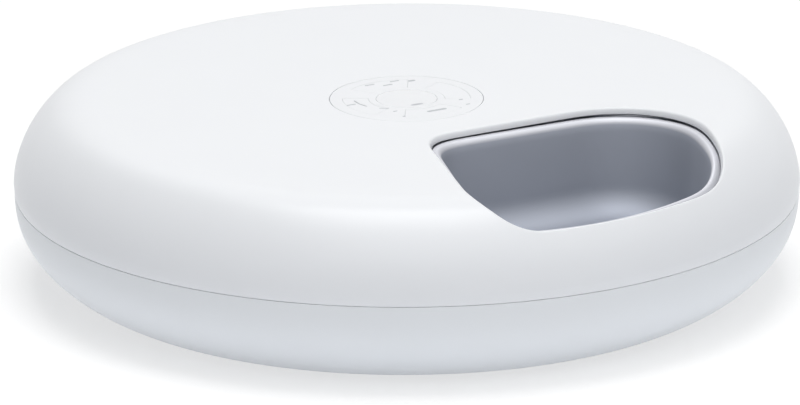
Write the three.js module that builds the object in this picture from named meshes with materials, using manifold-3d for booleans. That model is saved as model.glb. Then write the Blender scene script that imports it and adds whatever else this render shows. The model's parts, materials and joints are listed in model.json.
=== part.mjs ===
// Rotating wet food feeder: a low round body whose cover has one feeding opening.
// Under the cover a carousel carries five pans, and a gear motor turns it one pan at a time.
// Millimetres and degrees, Z up, origin on the floor at the centre of the round base.
// The feeding opening faces -Y, the power socket faces +Y and the battery door faces +X.

import * as THREE from 'three';
import { mergeVertices } from 'three/addons/utils/BufferGeometryUtils.js';
import Module from 'manifold-3d';

const wasm = await Module();
wasm.setup();

// Whole body
const bodyRadius = 160;
const totalHeight = 77;
const seamHeight = 39.5;
const widestRise = 3.5;
const shoulderWidth = 25;
const shoulderAcrossShare = 1.6;
const shoulderUpShare = 1.78;
const seamSetback = 0.3;
const baseFlatMargin = 31;
const baseDropShare = 2.33;
const baseFlareShare = 1.21;
const shellWall = 2.5;

// Clearances
const seatGap = 0.3;
const runningGap = 0.5;
const cutOverrun = 1;

// Angles of a turn
const fullTurn = 360;
const halfTurn = 180;
const quarterTurn = 90;

// Facets of round pieces
const roundSteps = 48;
const middleSteps = 32;
const footSteps = 16;
const smallSteps = 10;
const screwSteps = 6;
const curveSteps = 6;
const innerCurveSteps = 4;
const cornerFacetTurn = 18;
const keySteps = 5;
const searchSteps = 40;

// Pans and their places
const panCount = 5;
const mouthInnerFacing = 90;
const mouthInnerReach = -53.6;
const mouthRightFacing = -15.6;
const mouthRightReach = 103.5;
const mouthLeftFacing = 162;
const mouthLeftReach = 0;
const mouthOuterMargin = 13;
const innerRightCorner = 32;
const innerLeftCorner = 24;
const outerLeftCorner = 16;
const outerRightCorner = 32;
const panWall = 1;
const panRimWidth = 3.2;
const panRimThickness = 1.5;
const panRimClearance = 1.1;
const panFloorRise = 9;
const panDraft = 3;
const panFillet = 12;

// Cover
const openingMargin = 3.6;
const openingLeftFacing = 163;
const openingLeftReach = 0.4;
const openingLeftCorner = 20;
const panelHoleRadius = 31.4;
const lipWidth = 2;
const lipDepth = 2.6;
const lipSetIn = 0.5;

// Carousel frame
const frameWall = 2;
const frameBore = 43;
const frameHubWall = 2;
const frameSkirtMargin = 9.8;
const frameSkirtWall = 1.6;
const frameSkirtFoot = 40;
const frameRibDrop = 6;

// Turntable and drive gears
const toothModule = 1.5;
const turntableTeeth = 76;
const pinionTeeth = 14;
const pressureAngle = 20;
const turntableFlankShares = [0, 1];
const pinionFlankShares = [0, 0.5, 1];
const addendumShare = 0.8;
const dedendumShare = 1.25;
const backlash = 0.35;
const gearThickness = 4.5;
const turntableBore = 41.6;
const dogWidth = 6;
const dogHeight = 4.4;
const notchRadius = 2.5;
const notchDepth = 2;
const notchCircle = 50.5;
const glideThickness = 1.2;
const glideInner = 43;
const glideOuter = 47;
const pinionDirection = 180;
const shaftRadius = 2.5;

// Base deck
const deckThickness = 2;
const deckDrop = 13.5;
const deckHole = 33.5;
const deckDishMargin = 9;
const deckRimDrop = 3;
const deckRimMargin = 4;
const shaftHole = 5.5;

// Base shell, its screws and feet
const footProud = 1.2;
const footRadius = 9;
const footDepth = 2.4;
const footSetback = 17;
const footCount = 4;
const footFirst = 45;
const postCircle = 84;
const postCount = 4;
const postFirst = 45;
const postRadius = 4.2;
const bossRadius = 5.5;
const bossSplitHeight = 14;
const screwHeadRadius = 2.8;
const screwHeadHeight = 2;
const screwShankRadius = 1.4;
const screwWellDepth = 5;
const screwGrip = 12;

// Control tower
const towerRadius = 41;
const towerWall = 2;
const towerTopDrop = 3.6;
const towerChamfer = 2;
const neckRadius = 31;
const neckWall = 2.2;
const ledgeReach = 6.5;
const ledgeThickness = 2;
const ledgeDrop = 7.3;
const towerFootReach = 5.5;
const towerFootHeight = 5;
const towerScrewCount = 3;
const towerScrewCircle = 36.3;
const towerScrewGrip = 5.6;

// Control panel
const panelRadius = 31;
const panelThickness = 1.7;
const windowRadius = 12.4;
const windowThickness = 1;
const windowLedge = 1.3;
const keyInner = 15.6;
const keyOuter = 26;
const keySpread = 62;
const keyFlange = 0.8;
const keyFlangeThickness = 0.5;
const keyTravel = 0.6;
const keyNames = ['key_confirm', 'key_up', 'key_menu', 'key_down'];
const keyFirst = -90;

// Main board
const boardThickness = 1.6;
const boardRadius = 28.4;
const boardScrewCount = 3;
const boardScrewCircle = 25.2;
const boardScrewFirst = 45;
const boardScrewGrip = 3;
const switchSize = 5;
const switchCircle = 21.5;
const displayLength = 20;
const displayWidth = 14;
const chipSize = 9;
const chipThickness = 1.4;
const chipAlong = 10;
const buzzerRadius = 6;
const buzzerHeight = 5;
const buzzerAlong = -11;
const headerLength = 14;
const headerWidth = 5;
const headerHeight = 4.5;
const headerAlong = 12;

// Drive motor
const motorRadius = 14;
const motorHeight = 18.6;
const motorEarReach = 21;
const motorEarRadius = 3.6;
const motorEarThickness = 1;
const motorPadHeight = 2.5;
const motorScrewGrip = 4.5;
const motorTailLength = 6;
const motorTailWidth = 14;
const motorTailHeight = 11;

// Position sensor under the deck
const sensorLength = 14;
const sensorWidth = 8;
const sensorThickness = 1.6;
const sensorEyeRadius = 2;
const sensorDirection = -72;

// Battery bay, cells and door
const cellCount = 3;
const cellRadius = 7.2;
const cellLength = 49;
const cellNubRadius = 2.6;
const cellNubLength = 1.2;
const cellPitch = 15.2;
const baySetback = 31;
const bayWall = 1.5;
const bayEndRoom = 3.6;
const contactThickness = 0.5;
const contactWidth = 9;
const linkWidth = 4.5;
const springRadius = 3;
const springTipRadius = 1.6;
const doorThickness = 2;
const doorTongue = 1.2;
const doorTongueThickness = 0.8;
const doorEndMargin = 1.2;
const doorTravel = 12;
const doorGripWidth = 24;
const doorGripRise = 0.8;
const doorGripRibs = 3;
const doorGripPitch = 3;
const doorGripSlot = 1.5;

// Power socket
const socketPocketWidth = 13;
const socketPocketHeight = 11;
const socketPocketFoot = 8;
const socketPocketDepth = 18;
const socketBlockWall = 2.4;
const socketBarrelRadius = 4;
const socketBoreRadius = 2.9;
const socketPinRadius = 1;
const socketBodyDepth = 10;
const socketBodySide = 10;
const powerBoardWidth = 26;
const powerBoardLength = 30;
const powerBoardPostRadius = 2.6;
const powerBoardSetback = 2.8;

// Internal leads
const leadRadius = 1.3;
const leadSteps = 16;
const leadSides = 6;
const leadSlots = 3;
const leadFloorHeight = 9;
const leadBendHeight = 13;
const leadBundleRadius = 16;
const leadDropShare = 0.2;
const leadGatherShare = 0.6;
const leadSplayShare = 0.1;
const leadMiddleShare = 0.5;
const leadEndShare = 0.8;
const leadRiseShare = 0.9;

// Derived heights and radii
const shoulderStart = bodyRadius - shoulderWidth;
const baseFlatRadius = bodyRadius - baseFlatMargin;
const mouthOuterRadius = bodyRadius - mouthOuterMargin;
const frameSkirtRadius = bodyRadius - frameSkirtMargin;
const deckDishRadius = bodyRadius - deckDishMargin;
const deckRimReach = bodyRadius - deckRimMargin;
const socketPocketFloor = bodyRadius - socketPocketDepth;
const footCircle = baseFlatRadius - footSetback;
const bayCentre = baseFlatRadius - baySetback;
const deckTop = seamHeight - deckDrop;
const deckRimHeight = seamHeight - deckRimDrop;
const panFloorHeight = deckTop + panFloorRise;
const panelTop = totalHeight;
const floorPlateTop = footProud + shellWall;
const deckUnderside = deckTop - deckThickness;
const glideFoot = deckTop + seatGap;
const gearFoot = glideFoot + glideThickness + seatGap;
const gearTop = gearFoot + gearThickness;
const frameFoot = gearTop + seatGap;
const towerTop = totalHeight - towerTopDrop;
const panelFoot = panelTop - panelThickness;
const ledgeTop = totalHeight - ledgeDrop;
const boardFoot = ledgeTop + seatGap;
const boardTop = boardFoot + boardThickness;
const keyFlangeTop = panelFoot - seatGap;
const keyFlangeFoot = keyFlangeTop - keyFlangeThickness;
const switchTop = keyFlangeFoot - keyTravel - seatGap / 2;
const turntablePitch = toothModule * turntableTeeth / 2;
const pinionPitch = toothModule * pinionTeeth / 2;
const pinionCircle = turntablePitch + pinionPitch;
const panRimInset = shellWall + panRimClearance;
const frameInset = panRimInset + panRimThickness + runningGap;
const motorTop = deckUnderside - seatGap;
const screwSeat = footProud + screwWellDepth;

// Materials
const finishes = {
  coverWhite: [0xeff1f4, 0.38, 0],
  baseWhite: [0xe3e5e8, 0.42, 0],
  frameWhite: [0xe4e6ea, 0.45, 0],
  panSteel: [0xb9bec6, 0.32, 1],
  panelWhite: [0xeceef1, 0.3, 0],
  windowGrey: [0xdfe2e6, 0.12, 0],
  keyWhite: [0xe6e8ec, 0.36, 0],
  innerGrey: [0xb8bcc2, 0.5, 0],
  gearNatural: [0xe8e4d6, 0.45, 0],
  gearDark: [0x3a3d42, 0.5, 0],
  boardGreen: [0x1f5a3c, 0.5, 0],
  partBlack: [0x202226, 0.5, 0],
  headerCream: [0xe6e0cc, 0.5, 0],
  brightSteel: [0xb4b7bc, 0.3, 1],
  cellWrap: [0x2f4a63, 0.4, 0.2],
  rubberGrey: [0x6a6d72, 0.85, 0],
  leadBlack: [0x26282c, 0.6, 0],
};

function finish(name) {
  const [color, roughness, metalness] = finishes[name];
  return new THREE.MeshStandardMaterial({ color, roughness, metalness });
}

// Angles
function radians(degrees) {
  return THREE.MathUtils.degToRad(degrees);
}

function around(radius, degrees) {
  return [radius * Math.cos(radians(degrees)), radius * Math.sin(radians(degrees))];
}

function evenAngles(count, first = 0) {
  return Array.from({ length: count }, (_, k) => first + fullTurn * k / count);
}

// Solids and geometry
function toSolid(geometry) {
  const bare = geometry.index ? geometry : geometry.clone();
  bare.deleteAttribute('normal');
  bare.deleteAttribute('uv');
  const merged = mergeVertices(bare);
  const vertProperties = new Float32Array(merged.attributes.position.array);
  const triVerts = dropFlat(new Uint32Array(merged.index.array));
  if (signedVolume(vertProperties, triVerts) < 0) {
    turnInsideOut(triVerts);
  }
  return new wasm.Manifold(new wasm.Mesh({ numProp: 3, vertProperties, triVerts }));
}

function dropFlat(triVerts) {
  const kept = [];
  for (let t = 0; t < triVerts.length; t += 3) {
    const [a, b, c] = triVerts.subarray(t, t + 3);
    if (a !== b && b !== c && c !== a) {
      kept.push(a, b, c);
    }
  }
  return new Uint32Array(kept);
}

function signedVolume(vertices, triVerts) {
  const corner = (i) => new THREE.Vector3().fromArray(vertices, 3 * i);
  let volume = 0;
  for (let t = 0; t < triVerts.length; t += 3) {
    const [a, b, c] = [0, 1, 2].map((k) => corner(triVerts[t + k]));
    volume += a.dot(b.cross(c)) / 6;
  }
  return volume;
}

function turnInsideOut(triVerts) {
  for (let t = 0; t < triVerts.length; t += 3) {
    const second = triVerts[t + 1];
    triVerts[t + 1] = triVerts[t + 2];
    triVerts[t + 2] = second;
  }
}

function toGeometry(solid) {
  const mesh = solid.getMesh();
  const geometry = new THREE.BufferGeometry();
  geometry.setAttribute('position', new THREE.BufferAttribute(mesh.vertProperties, mesh.numProp));
  geometry.setIndex(new THREE.BufferAttribute(mesh.triVerts, 1));
  return geometry;
}

function joined(solids) {
  return solids.reduce((whole, next) => whole.add(next));
}

function without(solid, cutters) {
  return cutters.reduce((left, cutter) => left.subtract(cutter), solid);
}

// A profile of [radius, height] pairs turned about Z; a ring's profile closes on itself.
function turned(profile, steps, closed = false) {
  const points = profile.map(([radius, height]) => new THREE.Vector2(radius, height));
  if (closed) {
    points.push(points[0].clone());
  }
  return toSolid(new THREE.LatheGeometry(points, steps).rotateX(Math.PI / 2));
}

function ring(inner, outer, foot, top, steps) {
  return turned([[inner, foot], [outer, foot], [outer, top], [inner, top]], steps, true);
}

function disc(radius, foot, top, steps, x = 0, y = 0) {
  const geometry = new THREE.CylinderGeometry(radius, radius, top - foot, steps);
  return toSolid(geometry.rotateX(Math.PI / 2).translate(x, y, (foot + top) / 2));
}

function block(x0, x1, y0, y1, z0, z1) {
  const geometry = new THREE.BoxGeometry(x1 - x0, y1 - y0, z1 - z0);
  return toSolid(geometry.translate((x0 + x1) / 2, (y0 + y1) / 2, (z0 + z1) / 2));
}

function prism(points, foot, top, holes = []) {
  const shape = new THREE.Shape(points);
  shape.holes = holes.map((hole) => new THREE.Path(hole));
  const geometry = new THREE.ExtrudeGeometry(shape, { depth: top - foot, bevelEnabled: false });
  return toSolid(geometry.translate(0, 0, foot));
}

// Rings of equal length skinned in order, with a fan over each end.
function skinned(rings) {
  const count = rings[0].length;
  const positions = rings.flat().flatMap((point) => point.toArray());
  const index = [];
  for (let level = 0; level + 1 < rings.length; level += 1) {
    for (let k = 0; k < count; k += 1) {
      const a = level * count + k;
      const b = level * count + (k + 1) % count;
      index.push(a, b, b + count, a, b + count, a + count);
    }
  }
  const last = (rings.length - 1) * count;
  for (let k = 1; k + 1 < count; k += 1) {
    index.push(0, k + 1, k, last, last + k, last + k + 1);
  }
  const geometry = new THREE.BufferGeometry();
  geometry.setAttribute('position', new THREE.Float32BufferAttribute(positions, 3));
  geometry.setIndex(index);
  return toSolid(geometry);
}

function circlePath(radius, steps) {
  return evenAngles(steps).map((turn) => new THREE.Vector2(...around(radius, turn)));
}

function tube(points, radius, steps, sides) {
  const section = new THREE.Shape(circlePath(radius, sides));
  const path = new THREE.CatmullRomCurve3(points.map((point) => new THREE.Vector3(...point)));
  return toSolid(new THREE.ExtrudeGeometry(section, { steps, extrudePath: path }));
}

// A screw whose head bears at the seat and whose shank runs up from it, or down from a negative head.
function screw(head, seat, grip) {
  const tip = seat + Math.sign(head) * grip;
  const back = seat - head;
  const profile = [[0, back], [screwHeadRadius, back], [screwHeadRadius, seat],
    [screwShankRadius, seat], [screwShankRadius, tip], [0, tip]];
  return turned(profile, screwSteps);
}

// The dome: a flat top and a shoulder that is a quarter superellipse, moved in by an inset.
function domePoint(turn, inset) {
  const across = Math.cos(turn) ** (2 / shoulderAcrossShare);
  const up = Math.sin(turn) ** (2 / shoulderUpShare);
  const width = shoulderWidth;
  const rise = totalHeight - seamHeight - widestRise;
  const normal = new THREE.Vector2(
    shoulderAcrossShare / width * across ** (shoulderAcrossShare - 1),
    shoulderUpShare / rise * up ** (shoulderUpShare - 1),
  ).normalize();
  const radius = shoulderStart + width * across - inset * normal.x;
  const height = seamHeight + widestRise + rise * up - inset * normal.y;
  return [radius, height];
}

function domeShoulder(inset, steps = innerCurveSteps) {
  return Array.from({ length: steps + 1 }, (_, k) => domePoint(Math.PI / 2 * k / steps, inset));
}

function domeHeight(radius, inset) {
  let low = 0;
  let high = Math.PI / 2;
  if (radius <= domePoint(high, inset)[0]) {
    return domePoint(high, inset)[1];
  }
  for (let k = 0; k < searchSteps; k += 1) {
    const middle = (low + high) / 2;
    if (domePoint(middle, inset)[0] > radius) {
      low = middle;
    } else {
      high = middle;
    }
  }
  return domePoint(low, inset)[1];
}

// The base's side from the seam down to the flat underside, moved straight in by an inset.
function baseRadiusAt(drop) {
  const span = bodyRadius - seamSetback - baseFlatRadius;
  return baseFlatRadius + span * (1 - drop ** baseDropShare) ** (1 / baseFlareShare);
}

function baseSide(inset, foot, top, steps) {
  const depth = seamHeight - footProud;
  return Array.from({ length: steps + 1 }, (_, k) => {
    const height = top + (foot - top) * Math.sin(Math.PI / 2 * k / steps);
    return [baseRadiusAt((seamHeight - height) / depth) - inset, height];
  });
}

// A pan's mouth in plan: three straight sides and a round outer one, joined by round corners.
function side(facing, reach) {
  return { facing, reach, x: Math.cos(radians(facing)), y: Math.sin(radians(facing)) };
}

function cornerOfSides(a, b, radius) {
  const reachA = a.reach - radius;
  const reachB = b.reach - radius;
  const cross = a.x * b.y - a.y * b.x;
  return [(reachA * b.y - reachB * a.y) / cross, (a.x * reachB - b.x * reachA) / cross];
}

function cornerOnRound(a, radius, along) {
  const reach = a.reach - radius;
  const outward = mouthOuterRadius - radius;
  const run = along * Math.sqrt(outward ** 2 - reach ** 2);
  return [a.x * reach - a.y * run, a.y * reach + a.x * run];
}

function arc(centre, radius, from, to, facetTurn, ends) {
  return { centre, radius, from, to, steps: Math.ceil((to - from) / facetTurn), ends };
}

// The round side leaves its two end points to the corners beside it.
function mouthArcs(left, leftCorner) {
  const right = side(mouthRightFacing, mouthRightReach);
  const inner = side(mouthInnerFacing, mouthInnerReach);
  const leftCentre = cornerOnRound(left, leftCorner, 1);
  const rightCentre = cornerOnRound(right, outerRightCorner, -1);
  const polar = ([x, y]) => THREE.MathUtils.radToDeg(Math.atan2(y, x)) + fullTurn;
  const corner = (centre, radius, from, to) => arc(centre, radius, from, to, cornerFacetTurn, 1);
  return [
    corner(cornerOfSides(right, inner, innerRightCorner), innerRightCorner, right.facing, inner.facing),
    corner(cornerOfSides(inner, left, innerLeftCorner), innerLeftCorner, inner.facing, left.facing),
    corner(leftCentre, leftCorner, left.facing, polar(leftCentre)),
    arc([0, 0], mouthOuterRadius, polar(leftCentre), polar(rightCentre), fullTurn / roundSteps, 0),
    corner(rightCentre, outerRightCorner, polar(rightCentre), right.facing + fullTurn),
  ];
}

// The point of the right side up to which the whole rim is level, before the dome falls away
function levelEnd(offset) {
  const right = side(mouthRightFacing, mouthRightReach);
  const run = Math.sqrt(shoulderStart ** 2 - (right.reach + panRimWidth) ** 2);
  const reach = right.reach + offset;
  return new THREE.Vector2(right.x * reach + right.y * run, right.y * reach - right.x * run);
}

// A pan's mouth moved out by an offset, with its left side and outer left corner or those given
function mouthOutline(offset, left = side(mouthLeftFacing, mouthLeftReach), leftCorner = outerLeftCorner) {
  const points = [];
  for (const { centre: [x, y], radius, from, to, steps, ends } of mouthArcs(left, leftCorner)) {
    for (let k = 1 - ends; k < steps + ends; k += 1) {
      const [dx, dy] = around(radius + offset, from + (to - from) * k / steps);
      points.push(new THREE.Vector2(x + dx, y + dy));
    }
  }
  return [...points, levelEnd(offset)];
}

function mouthRing(offset, heightAt) {
  return mouthOutline(offset).map((point) => new THREE.Vector3(point.x, point.y, heightAt(point.length())));
}

// The cover's opening follows a pan's mouth at a margin, with a left side and a corner of its own.
function topCover() {
  const outer = domeShoulder(0, curveSteps);
  const inner = domeShoulder(shellWall).reverse();
  const foot = seamHeight + seatGap / 2;
  const lipOuter = bodyRadius - seamSetback - shellWall - lipSetIn;
  const lipRoot = seamHeight + widestRise;
  const profile = [
    [bodyRadius - seamSetback, foot],
    ...outer,
    [panelHoleRadius, totalHeight],
    [panelHoleRadius, totalHeight - shellWall],
    ...inner.slice(0, -1),
    [lipOuter - lipWidth, lipRoot],
    [lipOuter - lipWidth, foot - lipDepth],
    [lipOuter, foot - lipDepth],
    [lipOuter, foot],
  ];
  const openingLeft = side(openingLeftFacing, openingLeftReach);
  const opening = prism(mouthOutline(openingMargin, openingLeft, openingLeftCorner),
    seamHeight, totalHeight + cutOverrun);
  return turned(profile, roundSteps, true).subtract(opening);
}

// Pans and the frame that carries them
function foodPan() {
  const rimTop = (radius) => domeHeight(radius, panRimInset);
  const rimUnder = (radius) => rimTop(radius) - panRimThickness;
  const level = (height) => () => height;
  const turn = Math.SQRT1_2;
  const lean = (angleCosine) => -panDraft - panFillet * (1 - angleCosine);
  const rise = (angleSine) => panFloorHeight + panFillet * (1 - angleSine);
  return skinned([
    mouthRing(lean(0), level(panFloorHeight - panWall)),
    mouthRing(lean(turn) + panWall * turn, level(rise(turn) - panWall * turn)),
    mouthRing(panWall - panDraft, level(rise(0))),
    mouthRing(panWall, rimUnder),
    mouthRing(panRimWidth, rimUnder),
    mouthRing(panRimWidth, rimTop),
    mouthRing(0, rimTop),
    mouthRing(-panDraft, level(rise(0))),
    mouthRing(lean(turn), level(rise(turn))),
    mouthRing(lean(0), level(panFloorHeight)),
  ]);
}

function carouselFrame() {
  const holeMargin = panWall + seatGap;
  const top = domeShoulder(frameInset).filter(([radius]) => radius < frameSkirtRadius);
  const under = domeShoulder(frameInset + frameWall).filter(
    ([radius]) => radius < frameSkirtRadius - frameSkirtWall,
  );
  const skirtInner = frameSkirtRadius - frameSkirtWall;
  const hubOuter = frameBore + frameHubWall;
  const flat = totalHeight - frameInset;
  const profile = [
    [frameSkirtRadius, frameSkirtFoot],
    [frameSkirtRadius, domeHeight(frameSkirtRadius, frameInset)],
    ...top,
    [frameBore, flat],
    [frameBore, frameFoot],
    [hubOuter, frameFoot],
    [hubOuter, flat - frameWall],
    ...under.reverse(),
    [skirtInner, domeHeight(skirtInner, frameInset + frameWall)],
    [skirtInner, frameSkirtFoot],
  ];
  const hole = prism(mouthOutline(holeMargin), seamHeight, totalHeight);
  const holes = evenAngles(panCount).map((turn) => hole.rotate([0, 0, turn]));
  const notch = block(frameBore - cutOverrun, hubOuter + cutOverrun,
    -dogWidth / 2 - seatGap, dogWidth / 2 + seatGap, frameFoot - cutOverrun, gearTop + dogHeight + seatGap);
  const notches = dogAngles().map((turn) => notch.rotate([0, 0, turn]));
  const rib = block(hubOuter - frameHubWall / 2, -mouthInnerReach - panWall - runningGap,
    -frameWall / 2, frameWall / 2, flat - frameWall - frameRibDrop, flat - frameWall / 2);
  const ribs = dogAngles().map((turn) => rib.rotate([0, 0, turn]));
  const frame = without(turned(profile, roundSteps, true), notches);
  return without(joined([frame, ...ribs]), holes);
}

function dogAngles() {
  return evenAngles(panCount, mouthLeftFacing - quarterTurn);
}

// Gears: straight lines between points on each tooth's involute flank
function toothHalfAngle(radius, pitch) {
  const involute = (angle) => Math.tan(angle) - angle;
  const pressure = radians(pressureAngle);
  const base = pitch * Math.cos(pressure);
  const atRadius = Math.acos(Math.min(1, base / Math.max(radius, base)));
  const thickness = (Math.PI * toothModule - backlash) / 2;
  return thickness / (2 * pitch) + involute(pressure) - involute(atRadius);
}

function gearOutline(teeth, flankShares, firstTurn) {
  const pitch = toothModule * teeth / 2;
  const root = pitch - toothModule * dedendumShare;
  const tip = pitch + toothModule * addendumShare;
  const points = [];
  for (const turn of evenAngles(teeth, firstTurn)) {
    const flank = flankShares.map((share) => root + (tip - root) * share);
    const halves = flank.map((radius) => THREE.MathUtils.radToDeg(toothHalfAngle(radius, pitch)));
    flank.forEach((radius, k) => points.push(around(radius, turn - halves[k])));
    points.push(...flank.map((radius, k) => around(radius, turn + halves[k])).reverse());
  }
  return points.map((point) => new THREE.Vector2(...point));
}

function turntable() {
  const outline = gearOutline(turntableTeeth, turntableFlankShares, 0);
  const wheel = prism(outline, gearFoot, gearTop, [circlePath(turntableBore, middleSteps)]);
  const dog = block(frameBore + seatGap / 2, frameBore + frameHubWall, -dogWidth / 2, dogWidth / 2,
    gearTop - cutOverrun, gearTop + dogHeight);
  const dogs = dogAngles().map((turn) => dog.rotate([0, 0, turn]));
  const notch = disc(notchRadius, gearFoot - cutOverrun, gearFoot + notchDepth, smallSteps, notchCircle);
  const notches = evenAngles(panCount, sensorDirection).map((turn) => notch.rotate([0, 0, turn]));
  return without(joined([wheel, ...dogs]), notches);
}

function drivePinion() {
  const outline = gearOutline(pinionTeeth, pinionFlankShares, halfTurn / pinionTeeth);
  return prism(outline, gearFoot, gearTop, [circlePath(shaftRadius + seatGap, smallSteps)]);
}

function driveMotor() {
  const can = disc(motorRadius, motorTop - motorHeight, motorTop, footSteps);
  const ears = [-motorEarReach, motorEarReach].map((y) => joined([
    disc(motorEarRadius, motorTop - motorEarThickness, motorTop, smallSteps, 0, y),
    block(-motorEarRadius, motorEarRadius, Math.min(0, y), Math.max(0, y),
      motorTop - motorEarThickness, motorTop),
  ]));
  const tail = block(-motorRadius - motorTailLength, 0, -motorTailWidth / 2, motorTailWidth / 2,
    motorTop - motorHeight, motorTop - motorHeight + motorTailHeight);
  const holes = motorScrewPlaces().map(([x, y]) => disc(screwShankRadius + seatGap,
    motorTop - motorEarThickness - cutOverrun, motorTop + cutOverrun, screwSteps, x, y));
  return without(joined([can, tail, ...ears]), holes);
}

function motorScrewPlaces() {
  return [[0, -motorEarReach], [0, motorEarReach]];
}

function positionSensor() {
  const top = deckUnderside - seatGap;
  const board = block(-sensorLength / 2, sensorLength / 2, -sensorWidth / 2, sensorWidth / 2,
    top - sensorThickness, top);
  return board.add(disc(sensorEyeRadius, top - sensorThickness, deckTop - seatGap, smallSteps));
}

// Deck
function baseDeck() {
  const wallOuter = deckDishRadius + deckThickness;
  const rimUnder = deckRimHeight - deckThickness;
  const profile = [
    [deckHole, deckUnderside],
    [wallOuter, deckUnderside],
    [wallOuter, rimUnder],
    [deckRimReach, rimUnder],
    [deckRimReach, deckRimHeight],
    [deckDishRadius, deckRimHeight],
    [deckDishRadius, deckTop],
    [deckHole, deckTop],
  ];
  const motorX = around(pinionCircle, pinionDirection)[0];
  const pads = motorScrewPlaces().map(([x, y]) => disc(motorEarRadius, deckTop - deckThickness / 2,
    deckTop + motorPadHeight, smallSteps, motorX + x, y));
  const posts = postPlaces().map(([x, y]) => disc(postRadius, bossSplitHeight + seatGap,
    deckTop - deckThickness / 2, smallSteps, x, y));
  const pilots = postPlaces().map(([x, y]) => disc(screwShankRadius + seatGap, bossSplitHeight - cutOverrun,
    screwSeat + seatGap + screwGrip + cutOverrun, screwSteps, x, y));
  const motorPilots = motorScrewPlaces().map(([x, y]) => disc(screwShankRadius + seatGap,
    deckUnderside - cutOverrun, motorTop - motorEarThickness + motorScrewGrip + seatGap,
    screwSteps, motorX + x, y));
  const towerHoles = towerScrewPlaces().map(([x, y]) => disc(screwShankRadius + seatGap,
    deckUnderside - cutOverrun, deckTop + cutOverrun, screwSteps, x, y));
  const shaftWay = disc(shaftHole, deckUnderside - cutOverrun, deckTop + cutOverrun, smallSteps, motorX);
  const eyeWay = disc(sensorEyeRadius + seatGap, deckUnderside - cutOverrun, deckTop + cutOverrun,
    smallSteps, ...around(notchCircle, sensorDirection));
  const deck = joined([turned(profile, roundSteps, true), ...pads, ...posts]);
  return without(deck, [...pilots, ...motorPilots, ...towerHoles, shaftWay, eyeWay]);
}

function postPlaces() {
  return evenAngles(postCount, postFirst).map((turn) => around(postCircle, turn));
}

function towerScrewPlaces() {
  return evenAngles(towerScrewCount).map((turn) => around(towerScrewCircle, turn));
}

function glideRing() {
  return ring(glideInner, glideOuter, glideFoot, glideFoot + glideThickness, middleSteps);
}

// Base shell with its screw bosses, battery bay and socket pocket
function baseShell() {
  const top = seamHeight - seatGap / 2;
  const outer = baseSide(0, footProud, top, curveSteps);
  const inner = baseSide(shellWall, floorPlateTop, top, innerCurveSteps).reverse();
  const shell = turned([[0, floorPlateTop], ...inner, ...outer, [0, footProud]], roundSteps);
  const solidBase = turned([[0, top], ...outer, [0, footProud]], roundSteps);
  const bosses = postPlaces().map(([x, y]) => disc(bossRadius, footProud, bossSplitHeight,
    smallSteps, x, y));
  const wells = postPlaces().map(([x, y]) => disc(screwHeadRadius + runningGap, footProud - cutOverrun,
    screwSeat, smallSteps, x, y));
  const shankWays = postPlaces().map(([x, y]) => disc(screwShankRadius + seatGap, footProud,
    bossSplitHeight + cutOverrun, screwSteps, x, y));
  const footWells = footPlaces().map(([x, y]) => disc(footRadius + seatGap, footProud - cutOverrun,
    footDepth + seatGap, footSteps, x, y));
  const rearMounts = joined([socketBlock(), ...powerPosts()]).intersect(solidBase);
  const body = joined([shell, ...bosses, bayBox(), rearMounts]);
  return without(body, [...wells, ...shankWays, ...footWells, ...bayCuts(), ...socketCuts()]);
}

function footPlaces() {
  return evenAngles(footCount, footFirst).map((turn) => around(footCircle, turn));
}

function rubberFoot() {
  const profile = [[0, 0], [footRadius - footProud, 0], [footRadius, footProud],
    [footRadius, footDepth], [0, footDepth]];
  return turned(profile, footSteps);
}

// Battery bay, seen from its own centre: X towards the edge of the base, Y along the cells
const bayHalfAcross = cellCount * cellPitch / 2 + seatGap;
const bayHalfAlong = cellLength / 2 + cellNubLength + bayEndRoom;
const cellAxisHeight = footProud + seatGap + doorThickness + seatGap + cellRadius;
const bayRoof = cellAxisHeight + cellRadius + seatGap;
const bayInnerEnd = bayCentre - bayHalfAcross;
const bayOuterEnd = bayCentre + bayHalfAcross;
const doorFoot = footProud + seatGap / 2;
const doorHalf = bayHalfAlong - seatGap;

function bayBox() {
  return block(bayInnerEnd - bayWall, bayOuterEnd + bayWall, -bayHalfAlong - bayWall - doorTongue,
    bayHalfAlong + bayWall + doorTongue, footProud, bayRoof + bayWall);
}

function bayCuts() {
  const tongueFoot = doorFoot + (doorThickness - doorTongueThickness) / 2;
  const farEdge = baseFlatRadius + doorTravel;
  return [
    block(bayInnerEnd, bayOuterEnd, -bayHalfAlong, bayHalfAlong, footProud - cutOverrun, bayRoof),
    block(bayInnerEnd, farEdge, -bayHalfAlong, bayHalfAlong, footProud - cutOverrun,
      doorFoot + doorThickness + seatGap / 2),
    block(bayInnerEnd, farEdge, -bayHalfAlong - doorTongue, bayHalfAlong + doorTongue,
      tongueFoot - seatGap / 2, tongueFoot + doorTongueThickness + seatGap / 2),
  ];
}

function batteryDoor() {
  const outerEnd = bayOuterEnd + doorEndMargin;
  const plate = block(bayInnerEnd + seatGap, outerEnd, -doorHalf, doorHalf,
    doorFoot, doorFoot + doorThickness);
  const tongueFoot = doorFoot + (doorThickness - doorTongueThickness) / 2;
  const tongues = block(bayInnerEnd + seatGap, outerEnd, -doorHalf - doorTongue, doorHalf + doorTongue,
    tongueFoot, tongueFoot + doorTongueThickness);
  const grooves = Array.from({ length: doorGripRibs }, (_, k) => {
    const x = outerEnd - doorGripPitch * (k + 1);
    return block(x - doorGripSlot / 2, x + doorGripSlot / 2, -doorGripWidth / 2, doorGripWidth / 2,
      doorFoot - cutOverrun, doorFoot + doorGripRise);
  });
  return without(joined([plate, tongues]), grooves);
}

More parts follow.
